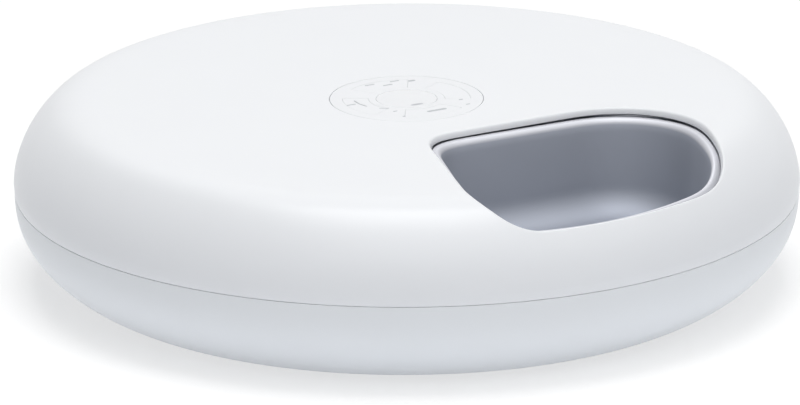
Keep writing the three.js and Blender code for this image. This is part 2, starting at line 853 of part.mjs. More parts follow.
function batteryCell() {
  const half = cellLength / 2;
  const profile = [[0, -half], [cellRadius, -half], [cellRadius, half],
    [cellNubRadius, half], [cellNubRadius, half + cellNubLength], [0, half + cellNubLength]];
  return turned(profile, footSteps);
}

function cellPlaces() {
  return Array.from({ length: cellCount }, (_, k) => bayCentre + (k - (cellCount - 1) / 2) * cellPitch);
}

function contactSide(k) {
  return k % 2 === 0 ? 1 : -1;
}

// What touches a cell at one end: a plate with a stud at its nub, or with a spring at its flat end
function cellContact(k, end) {
  const sign = end * contactSide(k);
  const face = sign * (bayHalfAlong - seatGap);
  const back = face - sign * contactThickness;
  const x = cellPlaces()[k];
  const half = contactWidth / 2;
  const plate = block(x - half, x + half, Math.min(face, back), Math.max(face, back),
    cellAxisHeight - half, cellAxisHeight + half);
  const reach = cellLength / 2 + seatGap + (end > 0 ? cellNubLength : 0);
  const root = end > 0 ? springTipRadius : springRadius;
  return plate.add(taperedRod(root, springTipRadius, face - sign * contactThickness / 2, sign * reach)
    .translate(x, 0, cellAxisHeight));
}

// A strip that joins the contacts of two neighbouring cells on one side of the bay
function cellLink(k) {
  const sign = contactSide(k);
  const face = -sign * (bayHalfAlong - seatGap);
  const back = face + sign * contactThickness;
  const [from, to] = cellPlaces().slice(k, k + 2);
  const strip = block(from, to, Math.min(face, back), Math.max(face, back),
    cellAxisHeight - linkWidth / 2, cellAxisHeight + linkWidth / 2);
  return joined([strip, cellContact(k, -1), cellContact(k + 1, 1)]);
}

function rod(radius, from, to) {
  return taperedRod(radius, radius, from, to);
}

function taperedRod(radiusFrom, radiusTo, from, to) {
  const geometry = new THREE.CylinderGeometry(radiusTo, radiusFrom, Math.abs(to - from), screwSteps);
  if (to < from) {
    geometry.rotateX(Math.PI);
  }
  return toSolid(geometry.translate(0, (from + to) / 2, 0));
}

// Power socket at the rear
const socketAxisHeight = socketPocketFoot + socketPocketHeight / 2;
const socketBlockInner = socketPocketFloor - socketBlockWall;
const powerBoardTop = socketAxisHeight - socketBodySide / 2 - seatGap;
const powerBoardEnd = socketBlockInner - seatGap - powerBoardSetback;

function socketBlock() {
  const half = socketPocketWidth / 2 + socketBlockWall;
  return block(-half, half, socketBlockInner, bodyRadius, footProud,
    socketPocketFoot + socketPocketHeight + socketBlockWall);
}

function socketCuts() {
  const half = socketPocketWidth / 2;
  return [
    block(-half, half, socketPocketFloor, bodyRadius + cutOverrun, socketPocketFoot,
      socketPocketFoot + socketPocketHeight),
    rod(socketBarrelRadius + seatGap, socketBlockInner - cutOverrun, socketPocketFloor + cutOverrun)
      .translate(0, 0, socketAxisHeight),
  ];
}

function powerSocket() {
  const back = socketBlockInner - seatGap - socketBodyDepth;
  const halfSide = socketBodySide / 2;
  const body = block(-halfSide, halfSide, back, socketBlockInner - seatGap, -halfSide, halfSide);
  const barrel = rod(socketBarrelRadius, socketBlockInner - socketBlockWall, socketPocketFloor);
  const bore = rod(socketBoreRadius, back + socketBlockWall, socketPocketFloor + cutOverrun);
  const pin = rod(socketPinRadius, back + socketBlockWall / 2, socketPocketFloor - socketBlockWall / 2);
  return joined([joined([body, barrel]).subtract(bore), pin]).translate(0, 0, socketAxisHeight);
}

function powerBoard() {
  return block(-powerBoardWidth / 2, powerBoardWidth / 2, powerBoardEnd - powerBoardLength, powerBoardEnd,
    powerBoardTop - boardThickness, powerBoardTop);
}

function powerPosts() {
  const x = powerBoardWidth / 2 - powerBoardPostRadius;
  const reach = powerBoardLength / 2 - powerBoardPostRadius;
  const ends = [-reach, reach].map((y) => powerBoardEnd - powerBoardLength / 2 + y);
  return ends.flatMap((y) => [-x, x].map((side) => disc(powerBoardPostRadius, floorPlateTop - cutOverrun,
    powerBoardTop - boardThickness - seatGap, screwSteps, side, y)));
}

// Control tower and what it holds
function controlTower() {
  const foot = deckTop + seatGap;
  const neckInner = neckRadius - neckWall;
  const inner = towerRadius - towerWall;
  const ledgeFoot = ledgeTop - ledgeThickness;
  const profile = [
    [towerRadius, foot],
    [towerRadius, towerTop - towerChamfer],
    [towerRadius - towerChamfer, towerTop],
    [neckRadius, towerTop],
    [neckRadius, panelFoot - seatGap],
    [neckInner, panelFoot - seatGap],
    [neckInner, ledgeTop],
    [neckInner - ledgeReach, ledgeTop],
    [neckInner - ledgeReach, ledgeFoot],
    [neckRadius, ledgeFoot],
    [neckRadius, towerTop - towerWall],
    [inner, towerTop - towerWall],
    [inner, foot + towerFootHeight],
    [inner - towerFootReach, foot + towerFootHeight],
    [inner - towerFootReach, foot],
  ];
  const pilots = towerScrewPlaces().map(([x, y]) => disc(screwShankRadius + seatGap, foot - cutOverrun,
    deckUnderside + towerScrewGrip + cutOverrun, screwSteps, x, y));
  const boardPilots = boardScrewPlaces().map(([x, y]) => disc(screwShankRadius + seatGap,
    ledgeFoot - cutOverrun, ledgeTop + cutOverrun, screwSteps, x, y));
  return without(turned(profile, middleSteps, true), [...pilots, ...boardPilots]);
}

function boardScrewPlaces() {
  return evenAngles(boardScrewCount, boardScrewFirst).map((turn) => around(boardScrewCircle, turn));
}

const boardScrewHead = keyFlangeFoot - keyTravel - boardTop - 2 * seatGap;

function mainBoard() {
  const holes = boardScrewPlaces().map(([x, y]) => disc(screwShankRadius + seatGap, boardFoot - cutOverrun,
    boardTop + cutOverrun, screwSteps, x, y));
  return without(disc(boardRadius, boardFoot, boardTop, middleSteps), holes);
}

// A key in plan: a sector of a ring, larger all round by a margin
function keyOutline(turn, margin) {
  const inner = keyInner - margin;
  const outer = keyOuter + margin;
  const spread = (radius) => keySpread / 2 + THREE.MathUtils.radToDeg(margin / radius);
  const edge = (radius, sign) => Array.from({ length: keySteps + 1 }, (_, k) => around(
    radius, turn + sign * spread(radius) * (1 - 2 * k / keySteps)));
  return [...edge(outer, -1), ...edge(inner, 1)].map((point) => new THREE.Vector2(...point));
}

function keyCap(turn) {
  const cap = prism(keyOutline(turn, 0), keyFlangeFoot, panelTop);
  return cap.add(prism(keyOutline(turn, keyFlange), keyFlangeFoot, keyFlangeTop));
}

function controlPanel() {
  const seat = panelTop - windowThickness - seatGap;
  const profile = [
    [windowRadius - windowLedge, panelFoot],
    [panelRadius, panelFoot],
    [panelRadius, panelTop],
    [windowRadius + seatGap, panelTop],
    [windowRadius + seatGap, seat],
    [windowRadius - windowLedge, seat],
  ];
  const keyWays = keyTurns().map((turn) => prism(keyOutline(turn, seatGap),
    panelFoot - cutOverrun, panelTop + cutOverrun));
  return without(turned(profile, roundSteps, true), keyWays);
}

function keyTurns() {
  return evenAngles(keyNames.length, keyFirst);
}

function tactSwitch() {
  const half = switchSize / 2;
  return block(-half, half, -half, half, boardTop + seatGap, switchTop);
}

// Internal leads from the board's header down through the tower to what they feed
const headerFoot = boardFoot - seatGap - headerHeight;

function cableHeader() {
  return block(-headerLength / 2, headerLength / 2, headerAlong - headerWidth / 2,
    headerAlong + headerWidth / 2, headerFoot, boardFoot - seatGap);
}

function lead(slot, end, endHeight) {
  const x = slot * headerLength / leadSlots;
  const top = headerFoot - seatGap;
  const heading = THREE.MathUtils.radToDeg(Math.atan2(end[1], end[0]));
  const bundle = around(leadBundleRadius, heading);
  const between = (from, to, share) => from + (to - from) * share;
  const outward = (share) => bundle.map((from, k) => between(from, end[k], share));
  return tube([
    [x, headerAlong, top],
    [x, headerAlong, between(top, deckTop, leadDropShare)],
    [...bundle, between(top, deckTop, leadGatherShare)],
    [...bundle, deckTop],
    [...outward(leadSplayShare), leadBendHeight],
    [...outward(leadMiddleShare), leadFloorHeight],
    [...outward(leadEndShare), between(leadFloorHeight, endHeight, leadRiseShare)],
    [...end, endHeight],
  ], leadRadius, leadSteps, leadSides);
}

// Assembly
const feeder = new THREE.Group();

function addPiece(parent, name, solid, finishName) {
  const mesh = new THREE.Mesh(toGeometry(solid), finish(finishName));
  mesh.name = name;
  parent.add(mesh);
  return mesh;
}

function addCopies(parent, name, solid, finishName, places) {
  places.forEach(([x, y], k) => {
    addPiece(parent, `${name}_${k + 1}`, solid, finishName).position.set(x, y, 0);
  });
}

function addGroup(parent) {
  const group = new THREE.Group();
  parent.add(group);
  return group;
}

const carousel = addGroup(feeder);
addPiece(feeder, 'top_cover', topCover(), 'coverWhite');
addPiece(carousel, 'carousel_frame', carouselFrame(), 'frameWhite');
const pan = foodPan();
evenAngles(panCount).forEach((turn, k) => {
  addPiece(carousel, `food_pan_${k + 1}`, pan, 'panSteel').rotation.z = radians(turn);
});
addPiece(carousel, 'turntable', turntable(), 'gearNatural');

const tower = addGroup(feeder);
addPiece(tower, 'control_tower', controlTower(), 'innerGrey');
addPiece(tower, 'control_panel', controlPanel(), 'panelWhite');
addPiece(tower, 'display_window', disc(windowRadius, panelTop - windowThickness, panelTop,
  middleSteps), 'windowGrey');
addPiece(tower, 'display_module', block(-displayLength / 2, displayLength / 2, -displayWidth / 2,
  displayWidth / 2, boardTop + seatGap, panelFoot - seatGap), 'partBlack');
keyTurns().forEach((turn, k) => addPiece(tower, keyNames[k], keyCap(turn), 'keyWhite'));
addCopies(tower, 'tact_switch', tactSwitch(), 'partBlack',
  keyTurns().map((turn) => around(switchCircle, turn)));
addPiece(tower, 'main_board', mainBoard(), 'boardGreen');
addCopies(tower, 'main_board_screw', screw(-boardScrewHead, boardTop + seatGap, boardScrewGrip),
  'brightSteel', boardScrewPlaces());
addPiece(tower, 'control_chip', block(chipAlong - chipSize / 2, chipAlong + chipSize / 2, -chipSize / 2,
  chipSize / 2, boardFoot - seatGap - chipThickness, boardFoot - seatGap), 'partBlack');
addPiece(tower, 'buzzer', disc(buzzerRadius, boardFoot - seatGap - buzzerHeight, boardFoot - seatGap,
  footSteps, 0, buzzerAlong), 'partBlack');
addPiece(tower, 'cable_header', cableHeader(), 'headerCream');
addCopies(tower, 'tower_screw', screw(screwHeadHeight, deckUnderside - seatGap, towerScrewGrip),
  'brightSteel', towerScrewPlaces());

const drive = addGroup(feeder);
drive.position.set(...around(pinionCircle, pinionDirection), 0);
addPiece(drive, 'drive_motor', driveMotor(), 'brightSteel');
addPiece(drive, 'motor_shaft', disc(shaftRadius, motorTop + seatGap, gearTop, smallSteps), 'brightSteel');
addPiece(drive, 'drive_pinion', drivePinion(), 'gearDark');
addCopies(drive, 'motor_screw', screw(screwHeadHeight, motorTop - motorEarThickness - seatGap,
  motorScrewGrip), 'brightSteel', motorScrewPlaces());

const base = addGroup(feeder);
addPiece(base, 'base_shell', baseShell(), 'baseWhite');
addPiece(base, 'base_deck', baseDeck(), 'innerGrey');
addPiece(base, 'glide_ring', glideRing(), 'gearNatural');
addCopies(base, 'housing_screw', screw(screwHeadHeight, screwSeat - seatGap, screwGrip),
  'brightSteel', postPlaces());
addCopies(base, 'rubber_foot', rubberFoot(), 'rubberGrey', footPlaces());
const sensor = addPiece(base, 'position_sensor', positionSensor(), 'boardGreen');
sensor.position.set(...around(notchCircle, sensorDirection), 0);
sensor.rotation.z = radians(sensorDirection + quarterTurn);

const power = addGroup(feeder);
addPiece(power, 'battery_door', batteryDoor(), 'baseWhite');
const cell = batteryCell();
cellPlaces().forEach((x, k) => {
  const mesh = addPiece(power, `battery_cell_${k + 1}`, cell, 'cellWrap');
  mesh.position.set(x, 0, cellAxisHeight);
  mesh.rotation.x = -contactSide(k) * Math.PI / 2;
});
addPiece(power, 'battery_terminal_positive', cellContact(0, 1), 'brightSteel');
addPiece(power, 'battery_terminal_negative', cellContact(cellCount - 1, -1), 'brightSteel');
for (let k = 0; k + 1 < cellCount; k += 1) {
  addPiece(power, `battery_link_${k + 1}`, cellLink(k), 'brightSteel');
}
addPiece(power, 'power_socket', powerSocket(), 'partBlack');
addPiece(power, 'power_board', powerBoard(), 'boardGreen');

const leads = addGroup(feeder);
const motorEnd = around(pinionCircle - motorRadius - seatGap - leadRadius, pinionDirection);
addPiece(leads, 'motor_lead', lead(-1, motorEnd, leadFloorHeight), 'leadBlack');
const powerEnd = [0, powerBoardEnd - powerBoardLength - seatGap - leadRadius];
addPiece(leads, 'power_lead', lead(0, powerEnd, powerBoardTop), 'leadBlack');
const batteryEnd = [bayInnerEnd - bayWall - seatGap - leadRadius, -bayHalfAlong / 2];
addPiece(leads, 'battery_lead', lead(1, batteryEnd, leadFloorHeight), 'leadBlack');

export default feeder;
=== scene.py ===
import json
import math
import bmesh
import bpy
import numpy as np
from mathutils import Matrix, Vector

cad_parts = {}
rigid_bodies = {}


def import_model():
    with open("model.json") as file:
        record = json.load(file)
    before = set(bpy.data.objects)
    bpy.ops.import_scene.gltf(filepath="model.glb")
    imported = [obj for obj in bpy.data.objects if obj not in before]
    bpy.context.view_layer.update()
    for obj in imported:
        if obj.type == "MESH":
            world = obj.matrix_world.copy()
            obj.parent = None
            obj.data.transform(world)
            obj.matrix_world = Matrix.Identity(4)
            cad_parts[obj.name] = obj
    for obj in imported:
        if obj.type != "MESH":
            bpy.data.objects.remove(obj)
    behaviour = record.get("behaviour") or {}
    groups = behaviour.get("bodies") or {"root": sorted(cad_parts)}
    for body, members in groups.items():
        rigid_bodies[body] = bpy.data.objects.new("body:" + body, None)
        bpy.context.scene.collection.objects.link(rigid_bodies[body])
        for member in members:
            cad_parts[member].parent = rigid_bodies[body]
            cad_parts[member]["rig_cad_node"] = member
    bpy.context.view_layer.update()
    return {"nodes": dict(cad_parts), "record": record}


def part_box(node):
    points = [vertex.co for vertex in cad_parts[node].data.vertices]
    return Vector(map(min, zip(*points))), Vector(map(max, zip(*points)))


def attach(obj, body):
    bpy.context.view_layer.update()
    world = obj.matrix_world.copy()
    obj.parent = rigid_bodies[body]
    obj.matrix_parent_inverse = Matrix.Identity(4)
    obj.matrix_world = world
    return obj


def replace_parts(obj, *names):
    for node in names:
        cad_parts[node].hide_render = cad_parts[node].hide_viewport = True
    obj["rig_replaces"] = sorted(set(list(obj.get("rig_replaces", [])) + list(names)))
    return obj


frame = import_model()
nodes = frame["nodes"]
slotOf = {part["node"]: part["material_slot"] for part in frame["record"]["subparts"]}
print("frame loaded:", len(nodes), "nodes")


# a dictionary whose values can also be read as in body.radius
class Values(dict):
    __getattr__ = dict.__getitem__


mm = 0.001
overrun = 1  # how far a cut reaches past what it cuts, and a joined block into what it joins
weld = Values({"reach": 0.002, "sliver": 0.0002, "solids": 0.001})  # points nearer than this are one
sharpAngle = Values({"usual": 32, "formed": 50, "shell": 35, "flat": 1})  # degrees between two faces

# The outer form, in millimetres, as the solids have it but for the dome's soft start and a narrower seam
body = Values({
    "radius": 160, "height": 77, "seam": 39.5, "widestRise": 3.5, "shoulderStart": 135,
    "shoulderAcross": 1.6, "shoulderUp": 1.78, "softStart": 128, "softEnd": 145, "rows": 240,
    "fineRows": 600, "softRowShare": 0.25, "wall": 2.5, "seamGap": 0.14, "seamSetback": 0.3,
    "baseFlat": 129, "baseFoot": 1.2, "baseDrop": 2.33, "baseFlare": 1.21,
})

# A pan's mouth seen from above: straight sides by facing and reach, corners by radius
mouth = Values({
    "innerFacing": 90, "innerReach": -53.6, "rightFacing": -15.6, "rightReach": 103.5, "leftFacing": 162,
    "leftReach": 0, "outerRadius": 147, "innerRight": 32, "innerLeft": 14, "outerLeft": 16,
    "outerRight": 32, "arcSteps": 48, "blend": 24, "points": 256,
})

# The cover's opening follows a pan's mouth at a margin, with a left side and left corners of its own
opening = Values({**mouth, "leftFacing": 163.7, "leftReach": 1.3, "innerLeft": 8, "outerLeft": 17.5})


# surfaces as whole arrays

# rows x columns points -> quads, of which the last column joins the first
def gridFaces(rows, columns):
    r, c = np.meshgrid(np.arange(rows - 1), np.arange(columns), indexing="ij")
    a = r * columns + c
    b = r * columns + (c + 1) % columns
    return np.stack([a, b, b + columns, a + columns], axis=-1).reshape(-1, 4)


# several (points, faces) patches in one pair of arrays
def gathered(patches):
    points, faces, start = [], [], 0
    for patchPoints, patchFaces in patches:
        points.append(patchPoints)
        faces.append(patchFaces + start)
        start += len(patchPoints)
    return np.concatenate(points), np.concatenate(faces)


# an object of its own in the scene
def linked(name, data):
    made = bpy.data.objects.new(name, data)
    bpy.context.scene.collection.objects.link(made)
    return made


# smooth faces, parted by sharp edges where two of them turn by more than the angle
def smoothed(mesh, angle):
    mesh.shade_smooth()
    mesh.set_sharp_from_angle(angle=math.radians(angle))


# points in millimetres and quads -> a closed, outward facing object; rim holds a share per point where the
# finish paints a highlight
def makePiece(name, points, faces, angle=sharpAngle.usual, rim=None):
    mesh = bpy.data.meshes.new(name)
    mesh.from_pydata((points * mm).tolist(), [], faces.tolist())
    if rim is not None:
        mesh.attributes.new("rim", "FLOAT", "POINT").data.foreach_set("value", np.asarray(rim, float))
    work = bmesh.new()
    work.from_mesh(mesh)
    bmesh.ops.remove_doubles(work, verts=work.verts, dist=weld.reach * mm)
    bmesh.ops.dissolve_degenerate(work, edges=work.edges, dist=weld.sliver * mm)
    bmesh.ops.recalc_face_normals(work, faces=work.faces)
    work.to_mesh(mesh)
    work.free()
    smoothed(mesh, angle)
    return linked(name, mesh)


# quadratic curve: (1 - t)^2 start + 2 t (1 - t) handle + t^2 end
def curved(start, handle, end, t):
    return (1 - t) ** 2 * start + 2 * t * (1 - t) * handle + t ** 2 * end


# corners (x, y, round) -> polyline: each rounded corner is such a curve between its tangent points
def softened(corners, closed=False, steps=5):
    spots = np.array([corner[:2] for corner in corners], float)
    rounds = [corner[2] if len(corner) > 2 else 0 for corner in corners]
    count = len(spots)
    line = []
    for k in range(count):
        ends = not closed and k in (0, count - 1)
        if ends or rounds[k] == 0:
            line.append(spots[k][None])
            continue
        before, after = spots[k - 1] - spots[k], spots[(k + 1) % count] - spots[k]
        reach = min(rounds[k], np.linalg.norm(before) / 2, np.linalg.norm(after) / 2)
        a = spots[k] + before / np.linalg.norm(before) * reach
        b = spots[k] + after / np.linalg.norm(after) * reach
        t = np.linspace(0, 1, steps)[:, None]
        line.append(curved(a, spots[k], b, t))
    return np.concatenate(line)


# plain corners, all with one round, as a closed polyline
def roundedLine(corners, size, steps=5):
    return softened([(*corner, size) for corner in corners], closed=True, steps=steps)


# outline (N, 2) lifted to a height, or to one height for each point
def lifted(line, height):
    return np.column_stack([line, np.broadcast_to(height, len(line))])


# (radius cos(turn), radius sin(turn), height) as points
def polar(radius, turn, height=0):
    return np.stack(np.broadcast_arrays(radius * np.cos(turn), radius * np.sin(turn), height), axis=-1)


# profile (radius, height) turned round the upright axis through centre; a closed profile is a ring's section
def turnedPatch(profile, columns=192, closed=False, centre=(0, 0)):
    profile = np.asarray(profile, float)
    if closed:
        profile = np.concatenate([profile, profile[:1]])
    turn = np.linspace(0, 2 * np.pi, columns, endpoint=False)
    points = polar(profile[:, :1], turn, profile[:, 1:]) + (*centre, 0)
    return points.reshape(-1, 3), gridFaces(len(profile), columns)


# a piece of its own from the corners of such a profile
def turnedPiece(name, corners, columns=192, closed=False, centre=(0, 0)):
    return makePiece(name, *turnedPatch(softened(corners, closed), columns, closed, centre))


# outline carried from one height to another, its ends closed by rings drawn in to the middle
def prismPatch(outline, foot, top):
    middle = outline.mean(axis=0)
    rings = [(0.0, foot), (1.0, foot), (1.0, top), (0.0, top)]
    points = np.concatenate([lifted(middle + (outline - middle) * t, height) for t, height in rings])
    return points, gridFaces(len(rings), len(outline))


# a round block: the half section (0, foot), (radius, foot), (radius, top), (0, top) turned round its centre
def discPatch(radius, foot, top, centre, columns=48):
    return turnedPatch([(0, foot), (radius, foot), (radius, top), (0, top)], columns, centre=centre)


# one such block at each of the spots
def discPatches(spots, radius, foot, top, columns=48):
    return [discPatch(radius, foot, top, spot, columns) for spot in spots]


# a rectangle's four corners, from x0 to x1 and from y0 to y1
def blockLine(x0, x1, y0, y1):
    return np.array([(x0, y0), (x1, y0), (x1, y1), (x0, y1)], float)


# a box: that rectangle carried from one height to another
def blockPatch(x, y, z):
    return prismPatch(blockLine(*x, *y), *z)


# a patch laid down: its heights run along y, forwards or back, and its y runs up from z
def alongY(patch, x, z, sign=1):
    points, faces = patch
    return np.column_stack([points[:, 0] + x, points[:, 2] * sign, points[:, 1] + z]), faces


# a rod along y: points at even turns of a circle, carried from start to end
def rodAlongY(radius, start, end, x, z, count=48):
    turn = np.linspace(0, 2 * np.pi, count, endpoint=False)
    return alongY(prismPatch(polar(radius, turn)[:, :2], start, end), x, z)


# points turned round the upright axis: (x cos - y sin, x sin + y cos)
def turnedLine(points, degrees):
    c, s = math.cos(math.radians(degrees)), math.sin(math.radians(degrees))
    turned = np.array(points, float)
    turned[:, 0], turned[:, 1] = points[:, 0] * c - points[:, 1] * s, points[:, 0] * s + points[:, 1] * c
    return turned


# an outline's prism turned in the same way
def turnedPrism(line, foot, top, degrees):
    points, faces = prismPatch(line, foot, top)
    return turnedLine(points, degrees), faces


# joins another piece to a piece, cuts it away or keeps what both share, and smooths the result
def combine(piece, other, operation, angle=sharpAngle.usual):
    change = piece.modifiers.new("combine", "BOOLEAN")
    change.operation = operation
    change.solver = "EXACT"
    change.object = other
    made = bpy.data.meshes.new_from_object(piece.evaluated_get(bpy.context.evaluated_depsgraph_get()))
    piece.modifiers.clear()
    piece.data = made
    made.name = piece.name
    bpy.data.objects.remove(other)
    smoothed(made, angle)
    return piece


# the same with closed patches in place of the other piece
def carve(piece, patches, angle=sharpAngle.usual, operation="DIFFERENCE"):
    for patch in patches:
        combine(piece, makePiece(piece.name + "Other", *patch), operation, angle)
    return piece


# the same, joining the patches
def join(piece, *patches):
    return carve(piece, patches, operation="UNION")


# a narrow round on every edge sharper than a limit
def edged(piece, width, limit=40, segments=2):
    change = piece.modifiers.new("edges", "BEVEL")
    change.width = width * mm
    change.segments = segments
    change.limit_method = "ANGLE"
    change.angle_limit = math.radians(limit)
    change.harden_normals = True
    return piece


# the piece moves with a body, stands for its nodes and takes its finish from their slot
def placed(piece, body, *names):
    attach(piece, body)
    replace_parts(piece, *names)
    return piece


# the dome and the mouth

# shoulder: radius = start + width cos(turn)^(2/p), height = foot + rise sin(turn)^(2/q); a quadratic curve
# leads from the flat top into it, and the line is moved in along its normal
def domeLine(inset, count=body.rows):
    turn = np.linspace(np.pi / 2, 0, count)
    width = body.radius - body.shoulderStart
    foot = body.seam + body.widestRise
    rise = body.height - foot
    p, q = body.shoulderAcross, body.shoulderUp
    across = np.clip(np.cos(turn), 0, 1) ** (2 / p)
    up = np.clip(np.sin(turn), 0, 1) ** (2 / q)
    shoulder = np.column_stack([body.shoulderStart + width * across, foot + rise * up])
    normal = np.column_stack([p / width * across ** (p - 1), q / rise * up ** (q - 1)])
    last = int(np.argmin(abs(shoulder[:, 0] - body.softEnd)))
    begin, end = np.array([body.softStart, body.height]), shoulder[last]
    handle = np.array([end[0] - (body.height - end[1]) * normal[last, 1] / normal[last, 0], body.height])
    t = np.linspace(0, 1, int(count * body.softRowShare))[:-1, None]
    step = (1 - t) * (handle - begin) + t * (end - handle)
    line = np.concatenate([curved(begin, handle, end, t), shoulder[last:]])
    normal = np.concatenate([np.column_stack([-step[:, 1], step[:, 0]]), normal[last:]])
    return line - inset * normal / np.linalg.norm(normal, axis=1, keepdims=True)


# height of that line at a radius, read between its points
def domeHeight(radius, inset):
    line = domeLine(inset, body.fineRows)
    return np.interp(radius, line[:, 0], line[:, 1])


# a straight side as its outward normal, (cos(facing), sin(facing)), and its distance from the axis
def sideOf(shape, name):
    facing = math.radians(shape[name + "Facing"])
    return np.array([math.cos(facing), math.sin(facing)]), shape[name + "Reach"]


# corner between two sides: its centre's distance along each normal is the reach less the radius
def cornerOfSides(a, b, radius):
    (na, ra), (nb, rb) = a, b
    return np.linalg.solve(np.array([na, nb]), np.array([ra - radius, rb - radius]))


# corner between a side and the outer round, its centre as far from the axis as the round less its radius
def cornerOnRound(shape, a, radius, along):
    normal, reach = a
    run = along * math.sqrt((shape.outerRadius - radius) ** 2 - (reach - radius) ** 2)
    return normal * (reach - radius) + np.array([-normal[1], normal[0]]) * run


# centre, radius and first and last turn of the five arcs, in order
def mouthArcs(shape):
    right, inner, left = (sideOf(shape, name) for name in ("right", "inner", "left"))
    leftCentre = cornerOnRound(shape, left, shape.outerLeft, 1)
    rightCentre = cornerOnRound(shape, right, shape.outerRight, -1)
    leftTurn, rightTurn = (math.degrees(math.atan2(y, x)) + 360 for x, y in (leftCentre, rightCentre))
    innerTurn = shape.innerFacing
    return [
        (cornerOfSides(right, inner, shape.innerRight), shape.innerRight, shape.rightFacing, innerTurn),
        (cornerOfSides(inner, left, shape.innerLeft), shape.innerLeft, innerTurn, shape.leftFacing),
        (leftCentre, shape.outerLeft, shape.leftFacing, leftTurn),
        (np.zeros(2), shape.outerRadius, leftTurn, rightTurn),
        (rightCentre, shape.outerRight, rightTurn, shape.rightFacing + 360),
    ]


# length of a line up to each of its points
def lengthAlong(line):
    return np.concatenate([[0], np.cumsum(np.linalg.norm(np.diff(line, axis=0), axis=1))])


# outline of a mouth: arcs and straight sides at even steps, each point the weighted mean of its neighbours
# over the blend, moved out by an offset along the normal
def mouthLine(offset, shape=mouth):
    arcs = []
    for centre, radius, start, end in mouthArcs(shape):
        turn = np.radians(np.linspace(start, end, shape.arcSteps))
        arcs.append(centre + polar(radius, turn)[:, :2])
    sharp = np.concatenate([*arcs, arcs[0][:1]])
    length = lengthAlong(sharp)
    even = np.linspace(0, length[-1], shape.points, endpoint=False)
    spots = np.column_stack([np.interp(even, length, sharp[:, k]) for k in (0, 1)])
    reach = round(shape.blend / 2 / even[1])
    share = np.hanning(2 * reach + 3)[1:-1]
    line = sum(np.roll(spots, k - reach, axis=0) * part for k, part in enumerate(share / share.sum()))
    along = np.roll(line, -1, axis=0) - np.roll(line, 1, axis=0)
    normal = np.column_stack([along[:, 1], -along[:, 0]]) / np.linalg.norm(along, axis=1, keepdims=True)
    return line + offset * normal


# ring on the dome above the opening's outline at an offset and an inset
def domeRing(offset, inset):
    line = mouthLine(offset, opening)
    return lifted(line, domeHeight(np.linalg.norm(line, axis=1), inset))


# the cover: a sheet of radial columns on each side of the opening, above and below, and the lip between

cover = Values({
    "holeRadius": 31.4, "holeEdge": 0.25, "margin": 3.6, "lipRound": 1.4, "lipTilt": 25, "underRound": 0.2,
    "lipRows": 9, "underRows": 4, "sheetRows": 70, "nearRows": 26, "outsideColumns": 177, "footBack": 1,
    "edge": 0.35, "rabbetInner": 154.7, "rabbetOuter": 156.7, "rabbetFoot": 37.05, "rabbetRound": 0.5,
    "rabbetTop": 0.4, "rabbetEdge": 0.2,
})


# points on each column at shares of the way: the turn is blended, and the profile followed by its length from
# where the column starts; the tail's points are the same on every column
def columnPatch(startTurn, startRadius, endTurn, profile, tail, rows, ring):
    length = lengthAlong(profile)
    first = np.interp(startRadius, profile[:, 0], length)
    t = np.linspace(0, 1, rows)[:, None]
    reach = first + (length[-1] - first) * t
    turn = np.concatenate([startTurn + (endTurn - startTurn) * t, np.tile(endTurn, (len(tail), 1))])
    spots = np.stack([np.interp(reach, length, profile[:, k]) for k in (0, 1)], axis=-1)
    spots = np.concatenate([spots, np.repeat(tail[:, None], len(endTurn), axis=1)])
    points = polar(spots[..., 0], turn, spots[..., 1])
    points[0, :len(ring)] = ring
    return points.reshape(-1, 3), gridFaces(*turn.shape)


# outer and inner half section from the panel hole outwards, each with the tail below its shoulder
def coverSections():
    c = cover
    widest = body.seam + body.widestRise
    foot = body.seam + body.seamGap / 2
    outerEdge = body.radius - body.seamSetback
    meeting = (outerEdge - c.footBack, foot)
    outerTail = softened([(body.radius, widest), (outerEdge, foot, c.edge), meeting])
    innerLine = domeLine(body.wall)
    innerLine = innerLine[innerLine[:, 0] < c.rabbetInner]
    rabbet = softened([
        innerLine[-1], (c.rabbetInner, widest, c.rabbetTop),
        (c.rabbetInner, c.rabbetFoot, c.rabbetRound), (c.rabbetOuter, c.rabbetFoot, c.rabbetRound),
        (c.rabbetOuter, foot, c.rabbetEdge), meeting])
    start = np.array([[c.holeRadius, body.height]])
    return ((np.concatenate([start, domeLine(0)]), outerTail[1:]),
            (np.concatenate([start - (0, body.wall), innerLine]), rabbet[1:]))


# the opening's lip as (offset, inset) pairs: an arc from the top, a tilted wall and a round at its lower edge
def lipSection():
    c = cover
    tilt = math.radians(c.lipTilt)
    foot = body.wall - c.underRound
    arcFoot = c.lipRound * (1 - math.sin(tilt))
    start = c.margin + c.lipRound * math.cos(tilt) + (foot - arcFoot) * math.tan(tilt)
    turn = np.linspace(0, np.pi / 2 - tilt, c.lipRows)
    arc = np.column_stack([start - c.lipRound * np.sin(turn), c.lipRound * (1 - np.cos(turn))])
    turn = np.linspace(0, np.pi / 2, c.underRows)
    edge = np.column_stack([c.margin + c.underRound * (1 - np.cos(turn)), foot + c.underRound * np.sin(turn)])
    return np.concatenate([arc, edge])


